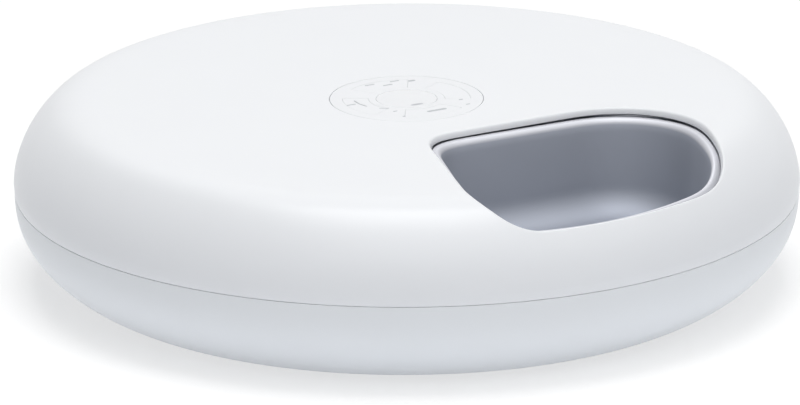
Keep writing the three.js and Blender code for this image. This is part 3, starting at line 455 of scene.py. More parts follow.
# each sheet has a column for every point of the opening and even ones over the rest of the circle: the far
# sheet follows the profile to the foot, the near one runs level to the panel hole, radius and turn blended
def buildCover():
    c = cover
    rings = [domeRing(*pair) for pair in lipSection()]
    topRing, underRing = rings[0], rings[-1]
    openTurn = np.arctan2(topRing[:, 1], topRing[:, 0])
    count = len(openTurn)
    angle = np.unwrap(openTurn)
    low, high = int(angle.argmin()), int(angle.argmax())
    farOrder = np.arange(low, low + (high - low) % count + 1) % count
    nearOrder = np.arange(high, high + (low - high) % count + 1)[::-1] % count
    outside = np.linspace(openTurn[high], openTurn[low] + 2 * np.pi, c.outsideColumns + 2)[1:-1]
    ease = (np.arange(len(outside)) + 1) / (len(outside) + 1)
    edge, top, floor = c.holeEdge, body.height, body.height - body.wall
    patches = []
    for ring, (profile, tail) in zip((topRing, underRing), coverSections()):
        turn = np.arctan2(ring[:, 1], ring[:, 0])
        radius = np.linalg.norm(ring[:, :2], axis=1)
        split = radius[high] + (radius[low] - radius[high]) * ease

        def columns(order):
            pairs = ((turn, outside), (radius, split), (openTurn, outside))
            return [np.concatenate([own[order], rest]) for own, rest in pairs]

        patches.append(columnPatch(*columns(farOrder), profile, tail, c.sheetRows, ring[farOrder]))
        nearTurn, nearRadius, nearEnd = columns(nearOrder)
        t = np.linspace(0, 1, c.nearRows)[:, None]
        bend = nearRadius + (c.holeRadius + edge - nearRadius) * t
        turns = nearTurn + (nearEnd - nearTurn) * t
        sheet = polar(bend, turns, profile[0, 1])
        sheet[0, :len(nearOrder)] = ring[nearOrder]
        patches.append((sheet.reshape(-1, 3), gridFaces(*turns.shape)))
    # wall of the panel hole with its two rounded edges
    hole = c.holeRadius
    wallLine = softened([(hole + edge, top), (hole, top, edge), (hole, floor, edge), (hole + edge, floor)])
    wall = polar(wallLine[:, :1], nearEnd, wallLine[:, 1:])
    patches.append((wall.reshape(-1, 3), gridFaces(*wall.shape[:2])))
    patches.append((np.concatenate(rings), gridFaces(len(rings), count)))
    return makePiece("coverShell", *gathered(patches), angle=sharpAngle.formed)


coverShell = buildCover()
print("cover made:", len(coverShell.data.polygons), "faces")


# pans: rings round the mouth from the rim's edge down to the floor and back under it

pan = Values({
    "count": 5, "rimInset": 2.85, "dips": (((72, -62), 45, 0.6), ((10, -150), 60, 1.3)), "rimWidth": 3.5,
    "rimEdge": 0.25, "rimThickness": 1.5, "rimRoll": 1.6, "rollInset": 0.15, "rollDrop": 1.44,
    "rollCurve": 2.2, "underEdge": 0.2, "floor": 35, "draft": 3, "fillet": 12, "wall": 1,
    "middle": (25, -95), "edgeRows": 4, "rollRows": 7, "wallRows": 8, "filletRows": 10, "floorRows": 5,
    "underFloorRows": 3, "underFilletRows": 6, "underWallRows": 4,
})
panTurns = [360 / pan.count * k for k in range(pan.count)]


# the rim's top: the dome less an inset that grows a little round two places, and less a drop
def rimTop(offset, drop):
    line = mouthLine(offset)
    radius = np.linalg.norm(line, axis=1)
    height = domeHeight(radius, pan.rimInset)
    for place, reach, depth in pan.dips:
        share = np.exp(-(np.linalg.norm(line - place, axis=1) / reach) ** 2)
        height -= share * (domeHeight(radius, pan.rimInset) - domeHeight(radius, pan.rimInset + depth))
    return height - drop


# each ring is the mouth's outline at an offset and a height: quarter rounds for edge and fillets, a power
# curve for the rim's roll, straight blends for the walls, and the outline drawn in to the middle as floor
def buildPan(name, degrees):
    p = pan
    centre = np.array(p.middle)
    base = p.floor + p.fillet
    rings = []

    def ringAt(offset, height):
        rings.append(lifted(mouthLine(offset), height))

    # rim: rounded outer edge, a level band, a roll into the wall
    edge = p.rimEdge
    for a in np.linspace(0, np.pi / 2, p.edgeRows):
        offset = p.rimWidth - edge * (1 - math.cos(a))
        ringAt(offset, rimTop(offset, edge * (1 - math.sin(a))))
    for a in np.linspace(0, 1, p.rollRows):
        offset = p.rimRoll * (1 - a) - p.rollInset * a
        ringAt(offset, rimTop(offset, p.rollDrop * a ** p.rollCurve))
    rimRings = len(rings)
    # inside: wall, fillet and floor
    rimHeights = rimTop(-p.rollInset, p.rollDrop)
    for t in np.linspace(0, 1, p.wallRows)[1:]:
        ringAt(-p.rollInset * (1 - t) - p.draft * t, rimHeights * (1 - t) + base * t)
    for a in np.linspace(0, np.pi / 2, p.filletRows)[1:]:
        ringAt(-p.draft - p.fillet * (1 - math.cos(a)), base - p.fillet * math.sin(a))
    floorLine = mouthLine(-p.draft - p.fillet)
    floorRings = [(t, p.floor) for t in np.linspace(0, 1, p.floorRows)[1:]]
    floorRings += [(t, p.floor - p.wall) for t in np.linspace(1, 0, p.underFloorRows)]
    rings += [lifted(floorLine + (centre - floorLine) * t, height) for t, height in floorRings]
    # outside: fillet, wall and the underside of the rim
    reach = p.fillet + p.wall
    for a in np.linspace(np.pi / 2, 0, p.underFilletRows)[1:]:
        ringAt(-p.draft - p.fillet + reach * math.cos(a), base - reach * math.sin(a))
    under = rimTop(p.wall, p.rimThickness)
    for t in np.linspace(0, 1, p.underWallRows)[1:]:
        ringAt(p.wall - p.draft * (1 - t), base * (1 - t) + under * t)
    for inward, drop in ((p.underEdge, p.rimThickness), (0, p.rimThickness - p.underEdge)):
        ringAt(p.rimWidth - inward, rimTop(p.rimWidth - inward, drop))
    rings.append(rings[0])
    points = turnedLine(np.concatenate(rings), degrees)
    # the rim's rings carry the share for the pan's painted highlight
    onRim = np.repeat([k < rimRings or k == len(rings) - 1 for k in range(len(rings))], len(floorLine))
    return makePiece(name, points, gridFaces(len(rings), len(floorLine)), sharpAngle.formed, onRim)


pans = [buildPan(f"pan{k + 1}", turn) for k, turn in enumerate(panTurns)]
print("pans made:", len(pans))


# the carrier under the cover: a thin dome with a hole for each pan and a tube round the tower

carrier = Values({
    "inset": 5.6, "wall": 2, "rows": 60, "bore": 43, "tubeWall": 2, "tubeFoot": 32.6, "skirtRadius": 150.2,
    "skirtWall": 1.6, "skirtFoot": 40, "holeMargin": 1.3, "holeFoot": 43, "dogWidth": 6, "dogTop": 36.7,
    "play": 0.3, "rib": (44, 52.1, 1), "ribFoot": 63.4, "ribTop": 70.4, "edge": 0.4, "tubeRound": 2,
    "boreRound": 1.2, "flatStart": 8,
})


# turns of the five dogs, on the lines through the pans' left sides
def dogTurns():
    return [mouth.leftFacing - 90 + turn for turn in panTurns]


# the dome's line at two insets, a skirt and a tube, turned into a ring; ribs join it, and the pans' outlines
# at a margin and the dogs' notches are cut out of it
def buildCarrier():
    c = carrier
    outer = domeLine(c.inset, c.rows)
    inner = domeLine(c.inset + c.wall, c.rows)
    skirtInner = c.skirtRadius - c.skirtWall
    flat, under = body.height - c.inset, body.height - c.inset - c.wall
    tube, edge = c.bore + c.tubeWall, c.edge
    outer = outer[outer[:, 0] < c.skirtRadius]
    inner = inner[inner[:, 0] < skirtInner]
    topAtSkirt = float(domeHeight(c.skirtRadius, c.inset))
    underAtSkirt = float(domeHeight(skirtInner, c.inset + c.wall))
    skirt = softened([
        outer[-1], (c.skirtRadius, topAtSkirt, edge), (c.skirtRadius, c.skirtFoot, edge),
        (skirtInner, c.skirtFoot, edge), (skirtInner, underAtSkirt, edge), inner[-1]])
    tubeLine = softened([
        (tube + c.flatStart, under), (tube, under, c.tubeRound), (tube, c.tubeFoot, edge),
        (c.bore, c.tubeFoot, edge), (c.bore, flat, c.boreRound), (c.bore + c.flatStart, flat)])
    profile = np.concatenate([skirt, inner[::-1][1:], tubeLine, outer[:-1]])
    piece = makePiece("carrierDome", *turnedPatch(profile, closed=True))
    start, end, half = c.rib
    rib = blockLine(start, end, -half, half)
    join(piece, *[turnedPrism(rib, c.ribFoot, c.ribTop, turn) for turn in dogTurns()])
    hole = mouthLine(c.holeMargin)
    cuts = [turnedPrism(hole, c.holeFoot, body.height + overrun, turn) for turn in panTurns]
    half = c.dogWidth / 2 + c.play
    notch = blockLine(c.bore - overrun, tube + overrun, -half, half)
    cuts += [turnedPrism(notch, c.tubeFoot - overrun, c.dogTop + c.play, turn) for turn in dogTurns()]
    return carve(piece, cuts)


carrierDome = buildCarrier()
print("carrier made:", len(carrierDome.data.polygons), "faces")


# the base shell: side curve, flat underside with wells, battery opening and plug recess

base = Values({
    "curveRows": 64, "innerRows": 40, "columns": 240, "wellColumns": 64, "fewColumns": 24, "edge": 0.5,
    "footCircle": 112, "footWell": 9.3, "footWellDepth": 2.7, "screwCircle": 84, "screwWell": 3.3,
    "screwWellTop": 6.2, "postFirst": 45, "plugWidth": 13, "plugFoot": 8, "plugHeight": 11,
    "plugFloor": 142, "plugRound": 1, "plugRun": 5, "barrel": 4.3, "plugAxis": 13.5, "plugWall": 2.4,
    "rearMargin": 0.6, "bossRadius": 5.5, "bossTop": 14, "shankWay": 1.7, "boardPost": 2.6,
    "boardPostTop": 6.3, "boardPosts": ((-10.4, 109.1), (10.4, 109.1), (-10.4, 133.9), (10.4, 133.9)),
})

bay = Values({
    "inner": 74.9, "outer": 121.1, "half": 29.3, "tongue": 1.2, "roof": 18.5, "doorFoot": 1.35,
    "doorThickness": 2, "tongueFoot": 1.95, "tongueThickness": 0.8, "tongueMargin": 0.05, "slotEnd": 141,
    "doorEndMargin": 1.2, "gripWidth": 24, "gripRise": 0.8, "gripRibs": 3, "gripPitch": 3, "gripSlot": 1.5,
    "play": 0.3, "edge": 0.25, "wall": 1.5,
})


# side of the base: radius = flat + span (1 - drop^p)^(1/q), drop going 0 to 1 from the seam to the floor
def baseLine(inset, foot, top, rows):
    depth = body.seam - body.baseFoot
    height = top + (foot - top) * np.sin(np.linspace(0, np.pi / 2, rows))
    drop = np.clip((body.seam - height) / depth, 0, 1)
    span = body.radius - body.seamSetback - body.baseFlat
    radius = body.baseFlat + span * (1 - drop ** body.baseDrop) ** (1 / body.baseFlare)
    return np.column_stack([radius - inset, height])


# four places on a circle, a quarter turn apart
def footSpots(circle):
    turns = np.radians(base.postFirst + 90 * np.arange(4))
    return polar(circle, turns)[:, :2]


# the side's line and the same at the wall's inset, turned into a dish; boxes, bosses and posts join it, and
# wells, the battery bay with its grooves, the plug recess and the barrel's way are cut out of it
def buildBaseShell():
    b = base
    foot = body.baseFoot
    top = body.seam - body.seamGap / 2
    outer = baseLine(0, foot, top - b.edge, b.curveRows)
    inner = baseLine(body.wall, foot + body.wall, top - b.edge, b.innerRows)
    rim = softened([inner[0], (inner[0][0], top, b.edge), (outer[0][0], top, b.edge), outer[0]])
    profile = np.concatenate([[[0, inner[-1][1]]], inner[::-1], rim[1:-1], outer, [[0, foot]]])
    shell = makePiece("baseShell", *turnedPatch(profile, b.columns))
    bayHalf = bay.half + bay.tongue + bay.wall
    bayLength = (bay.inner - bay.wall, bay.outer + bay.wall)
    bayBox = blockPatch(bayLength, (-bayHalf, bayHalf), (foot + overrun, bay.roof + bay.wall))
    # the block round the plug recess, kept inside the shell's own form
    half = b.plugWidth / 2
    wide = half + b.plugWall
    plugTop = b.plugFoot + b.plugHeight
    depth, height = (b.plugFloor - b.plugWall, body.radius), (foot + overrun, plugTop + b.plugWall)
    rear = makePiece("rearBlock", *blockPatch((-wide, wide), depth, height))
    inside = baseLine(b.rearMargin, foot + b.rearMargin, top - overrun, b.innerRows)
    solid = np.concatenate([[[0, top - overrun]], inside, [[0, foot + b.rearMargin]]])
    combine(rear, makePiece("solidBase", *turnedPatch(solid, b.columns // 2)), "INTERSECT")
    combine(shell, rear, "UNION")
    screws = footSpots(b.screwCircle)
    bosses = discPatches(screws, b.bossRadius, foot + overrun, b.bossTop)
    posts = discPatches(b.boardPosts, b.boardPost, foot + overrun, b.boardPostTop, b.fewColumns)
    join(shell, bayBox, *bosses, *posts)
    cuts = discPatches(footSpots(b.footCircle), b.footWell, foot - overrun, b.footWellDepth, b.wellColumns)
    for spot in screws:
        cuts.append(discPatch(b.screwWell, foot - overrun, b.screwWellTop, spot))
        cuts.append(discPatch(b.shankWay, b.screwWellTop - overrun, b.bossTop + overrun, spot, b.fewColumns))
    play = bay.play / 2
    slotTop = bay.doorFoot + bay.doorThickness + play
    tongue = (bay.tongueFoot - play, bay.tongueFoot + bay.tongueThickness + play)
    across, wide = (-bay.half, bay.half), bay.half + bay.tongue
    cuts.append(blockPatch((bay.inner, bay.outer), across, (foot - overrun, bay.roof)))
    cuts.append(blockPatch((bay.outer - overrun, bay.slotEnd), across, (foot - overrun, slotTop)))
    cuts.append(blockPatch((bay.inner, bay.slotEnd), (-wide, wide), tongue))
    corners = ((-half, b.plugFoot), (half, b.plugFoot), (half, plugTop), (-half, plugTop))
    recess = prismPatch(roundedLine(corners, b.plugRound), b.plugFloor, body.radius + b.plugRun)
    cuts.append(alongY(recess, 0, 0))
    cuts.append(rodAlongY(b.barrel, b.plugFloor - b.plugWall - overrun, b.plugFloor + overrun, 0, b.plugAxis))
    return carve(shell, cuts, angle=sharpAngle.shell)


baseShell = buildBaseShell()
print("base shell made:", len(baseShell.data.polygons), "faces")


# what stands for the outer solids
placed(coverShell, "cover", "top_cover")
for k, piece in enumerate(pans):
    placed(piece, "tray", f"food_pan_{k + 1}")
placed(carrierDome, "tray", "carousel_frame")
placed(baseShell, "base", "base_shell")


# feet, screws and the battery door under the base
under = Values({
    "footWide": 9, "footSole": 7.8, "footTop": 2.4, "footSlope": 1.2, "footRound": 0.5, "footEdge": 0.2,
    "footColumns": 64, "headWide": 2.8, "headFoot": 4.2, "headTop": 6.2, "headRound": 0.7, "headEdge": 0.1,
    "headColumns": 48, "shank": 1.4, "shankTop": 18.2, "tipRound": 0.3, "crossLength": 3.4,
    "crossWidth": 0.75, "crossDepth": 1.1,
})


# half sections turned round each place, and a cross of two boxes cut into each screw's head
def buildUnder():
    u = under
    sole = [(0, 0), (u.footSole, 0, u.footRound), (u.footWide, u.footSlope, u.footRound),
            (u.footWide, u.footTop, u.footEdge), (0, u.footTop)]
    for k, spot in enumerate(footSpots(base.footCircle)):
        piece = turnedPiece(f"foot{k + 1}", sole, u.footColumns, centre=spot)
        placed(piece, "base", f"rubber_foot_{k + 1}")
    head = [(0, u.headFoot), (u.headWide, u.headFoot, u.headRound), (u.headWide, u.headTop, u.headEdge),
            (u.shank, u.headTop), (u.shank, u.shankTop, u.tipRound), (0, u.shankTop)]
    long, wide = u.crossLength / 2, u.crossWidth / 2
    depth = (u.headFoot - overrun, u.headFoot + u.crossDepth)
    for k, (x, y) in enumerate(footSpots(base.screwCircle)):
        piece = turnedPiece(f"housingScrew{k + 1}", head, u.headColumns, centre=(x, y))
        bars = ((long, wide), (wide, long))
        carve(piece, [blockPatch((x - a, x + a), (y - b, y + b), depth) for a, b in bars])
        placed(piece, "base", f"housing_screw_{k + 1}")


# a plate with a wider tongue through it, and a row of grip slots cut near its outer end
def buildDoor():
    inner, outer = bay.inner + bay.play, bay.outer + bay.doorEndMargin
    half, foot = bay.half - bay.play, bay.doorFoot
    wide = half + bay.tongue
    plate = blockPatch((inner, outer), (-half, half), (foot, foot + bay.doorThickness))
    piece = makePiece("batteryDoor", *plate)
    along = (inner + bay.tongueMargin, outer - bay.tongueMargin)
    tongue = blockPatch(along, (-wide, wide), (bay.tongueFoot, bay.tongueFoot + bay.tongueThickness))
    join(piece, tongue)
    grip, reach = bay.gripWidth / 2, bay.gripSlot / 2
    places = [outer - bay.gripPitch * (k + 1) for k in range(bay.gripRibs)]
    depth = (foot - overrun, foot + bay.gripRise)
    slots = [blockPatch((x - reach, x + reach), (-grip, grip), depth) for x in places]
    return edged(carve(piece, slots), bay.edge)


buildUnder()
placed(buildDoor(), "battery_door", "battery_door")
print("underside made")


# cells and the power socket
cell = Values({
    "count": 3, "pitch": 15.2, "centre": 98, "axis": 11, "radius": 7.2, "length": 49, "nub": 2.6,
    "nubLength": 1.2, "footRound": 0.7, "topRound": 0.9, "nubFoot": 0.2, "nubRound": 0.5, "columns": 64,
})
socket = Values({
    "barrel": 4, "bore": 2.9, "pin": 1, "pinRound": 0.7, "pinColumns": 32, "back": 129.3, "front": 139.3,
    "sunk": 2, "side": 5, "boreFloor": 131.7, "pinEnd": 140.8,
})


# the can's half section turned and laid along y, its nub towards the end where the solid has it
def buildCells():
    c = cell
    half = c.length / 2
    tip = half + c.nubLength
    line = softened([(0, -half), (c.radius, -half, c.footRound), (c.radius, half, c.topRound),
                     (c.nub, half, c.nubFoot), (c.nub, tip, c.nubRound), (0, tip)])
    for k in range(c.count):
        low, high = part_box(f"battery_cell_{k + 1}")
        sign = 1 if high.y + low.y > 0 else -1
        x = c.centre + (k - (c.count - 1) / 2) * c.pitch
        piece = makePiece(f"batteryCell{k + 1}", *alongY(turnedPatch(line, c.columns), x, c.axis, sign))
        placed(piece, "base", f"battery_cell_{k + 1}")


# a block and a barrel along y, bored out, with a round pin in the bore
def buildSocket():
    s = socket
    axis, end = base.plugAxis, base.plugFloor
    block = blockPatch((-s.side, s.side), (s.back, s.front), (axis - s.side, axis + s.side))
    piece = makePiece("powerSocket", *block)
    join(piece, rodAlongY(s.barrel, s.front - s.sunk, end, 0, axis))
    carve(piece, [rodAlongY(s.bore, s.boreFloor, end + overrun, 0, axis)])
    root = s.boreFloor - overrun
    tip = softened([(0, root), (s.pin, root), (s.pin, s.pinEnd, s.pinRound), (0, s.pinEnd)])
    return join(piece, alongY(turnedPatch(tip, s.pinColumns), 0, axis))


buildCells()
placed(buildSocket(), "base", "power_socket")
print("cells and socket made")


# the control panel, its window and keys, and the faint marks on them
panel = Values({
    "radius": 31.2, "foot": 75.3, "footEdge": 0.2, "windowRadius": 12.4, "windowGap": 0.1, "windowDepth": 1,
    "windowEdge": 0.15, "wayEdge": 0.12, "ledge": 1.3, "seat": 75.7, "edge": 0.2, "columns": 256,
    "windowColumns": 128, "keyInner": 15.6, "keyOuter": 26, "keySpread": 62, "keyGap": 0.08,
    "keyRound": 1.2, "keyEdge": 0.06, "keyFoot": 74.5, "keyBend": 50, "keySteps": 14, "cornerSteps": 6,
    "barSteps": 4, "strokeSteps": 12,
    "keyTurns": (("key_confirm", -90), ("key_up", 0), ("key_menu", 90), ("key_down", 180)),
    "markFoot": 76.9, "markTop": 77.03,
})

# x, y, length and width of each bar, and start, bend, end and width of each stroke
markBars = (
    (-3.8, 23.75, 4.4, 0.9), (2.65, 20.1, 4.4, 0.9), (7.55, 23.3, 4.4, 0.9), (14.0, 20.3, 3.2, 1.6),
    (-23.6, 3.75, 4.2, 0.9), (-0.2, -9.1, 5.5, 1.7), (2.8, -20.0, 9, 1.7),
    (18.4, -12.3, 2, 0.9), (17.8, -19.3, 2, 0.9), (-12.5, -12.9, 2, 0.9), (-12.9, -20.7, 1.4, 0.9),
)
markStrokes = (
    ((-19.9, 8.1), (-21, 3), (-19.2, -1.4), 0.5),
    ((-16.2, -6.2), (-14.8, -7.6), (-12.7, -8.2), 0.5),
)


# a word and a name with underscores as one name
def camelName(first, name):
    return first + name.replace("_", " ").title().replace(" ", "")


# a key's outline at a margin: an arc out and an arc back over its spread, with rounded corners
def keyLine(turn, margin):
    p = panel
    inner, outer = p.keyInner - margin, p.keyOuter + margin
    steps = p.keySteps
    line = []
    for radius, sign in ((outer, -1), (inner, 1)):
        spread = math.radians(p.keySpread / 2) + margin / radius
        turns = math.radians(turn) + sign * spread * (1 - 2 * np.linspace(0, 1, steps))
        spots = polar(radius, turns)[:, :2]
        line += [(*spot, p.keyRound + margin if k in (0, steps - 1) else 0) for k, spot in enumerate(spots)]
    return softened(line, closed=True, steps=p.cornerSteps)


# a curve from start to end, moved half the width to each side along its normal
def strokeLine(start, bend, end, width):
    start, bend, end = np.array([start, bend, end], float)
    t = np.linspace(0, 1, panel.strokeSteps)[:, None]
    curve = curved(start, bend, end, t)
    along = np.gradient(curve, axis=0)
    normal = np.column_stack([-along[:, 1], along[:, 0]]) / np.linalg.norm(along, axis=1)[:, None]
    return np.concatenate([curve + normal * width / 2, (curve - normal * width / 2)[::-1]])


# the key that a mark lies on, by its distance from the middle and its turn from the key's, or else the base
def markOwner(spot):
    radius = math.hypot(*spot)
    for name, turn in panel.keyTurns:
        across = (math.degrees(math.atan2(spot[1], spot[0])) - turn + 180) % 360 - 180
        if panel.keyInner < radius < panel.keyOuter and abs(across) < panel.keySpread / 2:
            return name
    return "base"


# the panel's ring section turned, with the keys' outlines cut through it; keys and window fill what is left
def buildPanel():
    p = panel
    top = body.height
    wayRadius, ledge = p.windowRadius + p.windowGap, p.windowRadius - p.ledge
    line = [(ledge, p.foot), (p.radius, p.foot, p.footEdge), (p.radius, top, p.edge),
            (wayRadius, top, p.wayEdge), (wayRadius, p.seat), (ledge, p.seat)]
    piece = turnedPiece("controlPanel", line, p.columns, closed=True)
    ways = [keyLine(turn, p.keyGap) for _, turn in p.keyTurns]
    carve(piece, [prismPatch(way, p.foot - overrun, top + overrun) for way in ways])
    placed(piece, "base", "control_panel")
    under = top - p.windowDepth
    window = [(0, under), (p.windowRadius, under), (p.windowRadius, top, p.windowEdge), (0, top)]
    placed(turnedPiece("displayWindow", window, p.windowColumns), "base", "display_window")
    for name, turn in p.keyTurns:
        cap = makePiece(camelName("cap", name), *prismPatch(keyLine(turn, 0), p.keyFoot, top))
        placed(edged(cap, p.keyEdge, limit=p.keyBend), name, name)


# bars with round ends and strokes as low prisms, one group for each body that carries some
def buildMarks():
    outlines = {}
    for x, y, length, width in markBars:
        corners = blockLine(x - length / 2, x + length / 2, y - width / 2, y + width / 2)
        bar = roundedLine(corners, width / 2, panel.barSteps)
        outlines.setdefault(markOwner((x, y)), []).append(bar)
    for start, bend, end, width in markStrokes:
        outlines.setdefault(markOwner(bend), []).append(strokeLine(start, bend, end, width))
    made = []
    for owner, lines in outlines.items():
        patches = [prismPatch(line, panel.markFoot, panel.markTop) for line in lines]
        piece = makePiece(camelName("marks", owner), *gathered(patches))
        made.append(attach(piece, owner))
    return made


buildPanel()
marks = buildMarks()
print("panel made:", len(marks), "groups of marks")


# what shows once the cover is off: the tower, the deck, the glide ring and the toothed ring
inner = Values({
    "towerRadius": 41, "towerFoot": 26.3, "towerTop": 73.4, "towerChamfer": 2, "neck": 31, "neckTop": 75,
    "neckWall": 2.2, "towerWall": 2, "towerInner": 33.5, "towerFootTop": 31.3, "ledge": 22.3,
    "ledgeFoot": 67.7, "ledgeTop": 69.7, "deckHole": 33.5, "deckUnder": 24, "deckTop": 26, "dish": 151,
    "dishWall": 2, "rimTop": 36.5, "rimReach": 156, "glide": (43, 47, 26.3, 27.5), "motorX": -67.5,
    "ears": 21, "earRadius": 3.6, "padTop": 28.5, "shaftHole": 5.5, "eyeCircle": 50.5, "eyeTurn": -72,
    "eyeHole": 2.3, "post": 4.2, "postFoot": 14.3, "pilotTop": 19.5, "edge": 0.3, "narrowEdge": 0.2,
    "rimEdge": 0.4, "neckRound": 0.6, "chamferRound": 1.4, "deckRound": 1.5, "dishRound": 4,
    "gearEdge": 0.12, "deckColumns": 240, "glideColumns": 160,
})


# three ring sections turned; pads and posts join the deck, and the ways of shaft, eye and screws are cut
def buildInner():
    i = inner
    edge, narrow = i.edge, i.narrowEdge
    neckInner = i.neck - i.neckWall
    wallInner = i.towerRadius - i.towerWall
    under = i.towerTop - i.towerWall
    tower = [
        (i.towerRadius, i.towerFoot, edge), (i.towerRadius, i.towerTop - i.towerChamfer, i.chamferRound),
        (i.towerRadius - i.towerChamfer, i.towerTop, i.chamferRound), (i.neck, i.towerTop, i.neckRound),
        (i.neck, i.neckTop, edge), (neckInner, i.neckTop, edge), (neckInner, i.ledgeTop),
        (i.ledge, i.ledgeTop, narrow), (i.ledge, i.ledgeFoot, narrow), (i.neck, i.ledgeFoot),
        (i.neck, under), (wallInner, under), (wallInner, i.towerFootTop),
        (i.towerInner, i.towerFootTop, edge), (i.towerInner, i.towerFoot)]
    placed(turnedPiece("controlTower", tower, closed=True), "base", "control_tower")
    wallOuter = i.dish + i.dishWall
    rimUnder = i.rimTop - i.dishWall
    deckLine = [
        (i.deckHole, i.deckUnder), (wallOuter, i.deckUnder, i.deckRound), (wallOuter, rimUnder, edge),
        (i.rimReach, rimUnder, edge), (i.rimReach, i.rimTop, i.rimEdge), (i.dish, i.rimTop, i.neckRound),
        (i.dish, i.deckTop, i.dishRound), (i.deckHole, i.deckTop, edge)]
    deck = turnedPiece("baseDeck", deckLine, i.deckColumns, closed=True)
    sunk, screws = i.deckTop - overrun, footSpots(base.screwCircle)
    pads = discPatches([(i.motorX, y) for y in (-i.ears, i.ears)], i.earRadius, sunk, i.padTop)
    join(deck, *pads, *discPatches(screws, i.post, i.postFoot, sunk))
    eye = math.radians(i.eyeTurn)
    eyeSpot = (i.eyeCircle * math.cos(eye), i.eyeCircle * math.sin(eye))
    holes = [((i.motorX, 0), i.shaftHole), (eyeSpot, i.eyeHole)]
    cuts = [discPatch(radius, i.deckUnder - overrun, i.deckTop + overrun, spot) for spot, radius in holes]
    cuts += discPatches(screws, base.shankWay, i.postFoot - overrun, i.pilotTop, base.fewColumns)
    placed(carve(deck, cuts), "base", "base_deck")
    a, b, low, high = i.glide
    ring = roundedLine(blockLine(a, b, low, high), narrow)
    placed(makePiece("glideRing", *turnedPatch(ring, i.glideColumns, closed=True)), "base", "glide_ring")


# a copy of a solid, merged and given narrow round edges
def edgedCopy(name, node, width):
    work = bmesh.new()
    work.from_mesh(nodes[node].data)
    bmesh.ops.remove_doubles(work, verts=work.verts, dist=weld.solids * mm)
    flat = math.radians(sharpAngle.flat)
    bmesh.ops.dissolve_limit(work, angle_limit=flat, verts=work.verts, edges=work.edges)
    mesh = bpy.data.meshes.new(name)
    work.to_mesh(mesh)
    work.free()
    smoothed(mesh, sharpAngle.usual)
    return edged(linked(name, mesh), width)


buildInner()
placed(edgedCopy("turntableRing", "turntable", inner.gearEdge), "turntable", "turntable")
placed(edgedCopy("drivePinion", "drive_pinion", inner.gearEdge), "pinion", "drive_pinion")
print("inner pieces made")


# finishes: a socket that can be written in sums, then the graph that makes its nodes
class Wire:
    def __init__(self, graph, socket):
        self.graph = graph
        self.socket = socket

    def maths(self, operation, first, second):
        return self.graph.add("Math", {"operation": operation}, {0: first, 1: second})

    def __add__(self, other):
        return self.maths("ADD", self, other)

    __radd__ = __add__

    def __mul__(self, other):
        return self.maths("MULTIPLY", self, other)

    __rmul__ = __mul__

    def __gt__(self, other):
        return self.maths("GREATER_THAN", self, other)

    def __or__(self, other):
        return self.maths("MAXIMUM", self, other)


class Finish:
    def __init__(self, name, tree=None):
        self.material = None if tree else bpy.data.materials.new(name)
        if self.material:
            self.material.use_nodes = True
        self.tree = tree or self.material.node_tree
        self.tree.nodes.clear()

    # a node by its type, its settings, and the values or wires of its sockets; output picks what comes back
    def add(self, kind, settings=None, inputs=None, output=0):
        node = self.tree.nodes.new("ShaderNode" + kind)
        for name, value in (settings or {}).items():
            setattr(node, name, value)
        for key, value in (inputs or {}).items():
            if isinstance(value, Wire):
                self.tree.links.new(value.socket, node.inputs[key])
            else:
                node.inputs[key].default_value = value
        return Wire(self, node.outputs[output])

    # where a point lies on the piece itself
    def place(self):
        return self.add("TexCoord", output="Object")

    # noise whose patches are about as long as the size, narrower by the stretch
    def grain(self, size, detail=3, stretch=(1, 1, 1)):
        spot = self.add("Mapping", inputs={"Vector": self.place(), "Scale": stretch})
        return self.add("TexNoise", inputs={"Vector": spot, "Scale": 1 / (size * mm), "Detail": detail})

    # first (1 - factor) + second factor
    def blended(self, first, second, factor):
        return self.add("Mix", {"data_type": "RGBA"}, {0: factor, 6: first, 7: second}, output=2)

    def bumped(self, height, strength, depth):
        return self.add("Bump", inputs={"Height": height, "Strength": strength, "Distance": depth * mm})

    # 0 to 1 as a value goes from low to high
    def ramped(self, value, low, high):
        return self.add("MapRange", inputs={0: value, 1: low, 2: high})

    def shaded(self, **sockets):
        names = {key.replace("_", " "): value for key, value in sockets.items()}
        self.close(self.add("BsdfPrincipled", inputs=names))
        return self.material

    # 1 where the camera sees the surface, straight, mirrored or through something clear
    def shown(self):
        rays = ("Is Camera Ray", "Is Glossy Ray", "Is Transmission Ray")
        camera, glossy, clear = (self.add("LightPath", output=ray) for ray in rays)
        return camera | glossy | clear

    def close(self, shader, kind="OutputMaterial"):
        end = self.tree.nodes.new("ShaderNode" + kind)
        self.tree.links.new(shader.socket, end.inputs[0])


# 0-255 screen values -> the light they stand for, by the standard screen curve
def tone(red, green, blue, share=1.0):
    levels = np.array([red, green, blue]) / 255 * share
    light = np.where(levels <= 0.04045, levels / 12.92, ((levels + 0.055) / 1.055) ** 2.4)
    return (*light.tolist(), 1.0)


# sizes of patterns in millimetres, and how strong they are
# the rim share at which a pan's painted highlight begins is among these
surface = Values({
    "plasticDrift": 34, "plasticShade": 0.993, "plasticBump": 0.35, "metalDrift": 22, "metalShade": 0.97,
    "metalBump": 0.3, "glossDrift": 0.04, "scratchGloss": 0.03, "rimStart": 0.75, "runsPerMetre": 260.0,
    "runWidth": 0.06, "boardGloss": 0.38, "boardGrain": 0.6, "boardDrift": 0.08, "wrapGloss": 0.28,
    "wrapGrain": 0.8, "wrapDrift": 0.06,
})


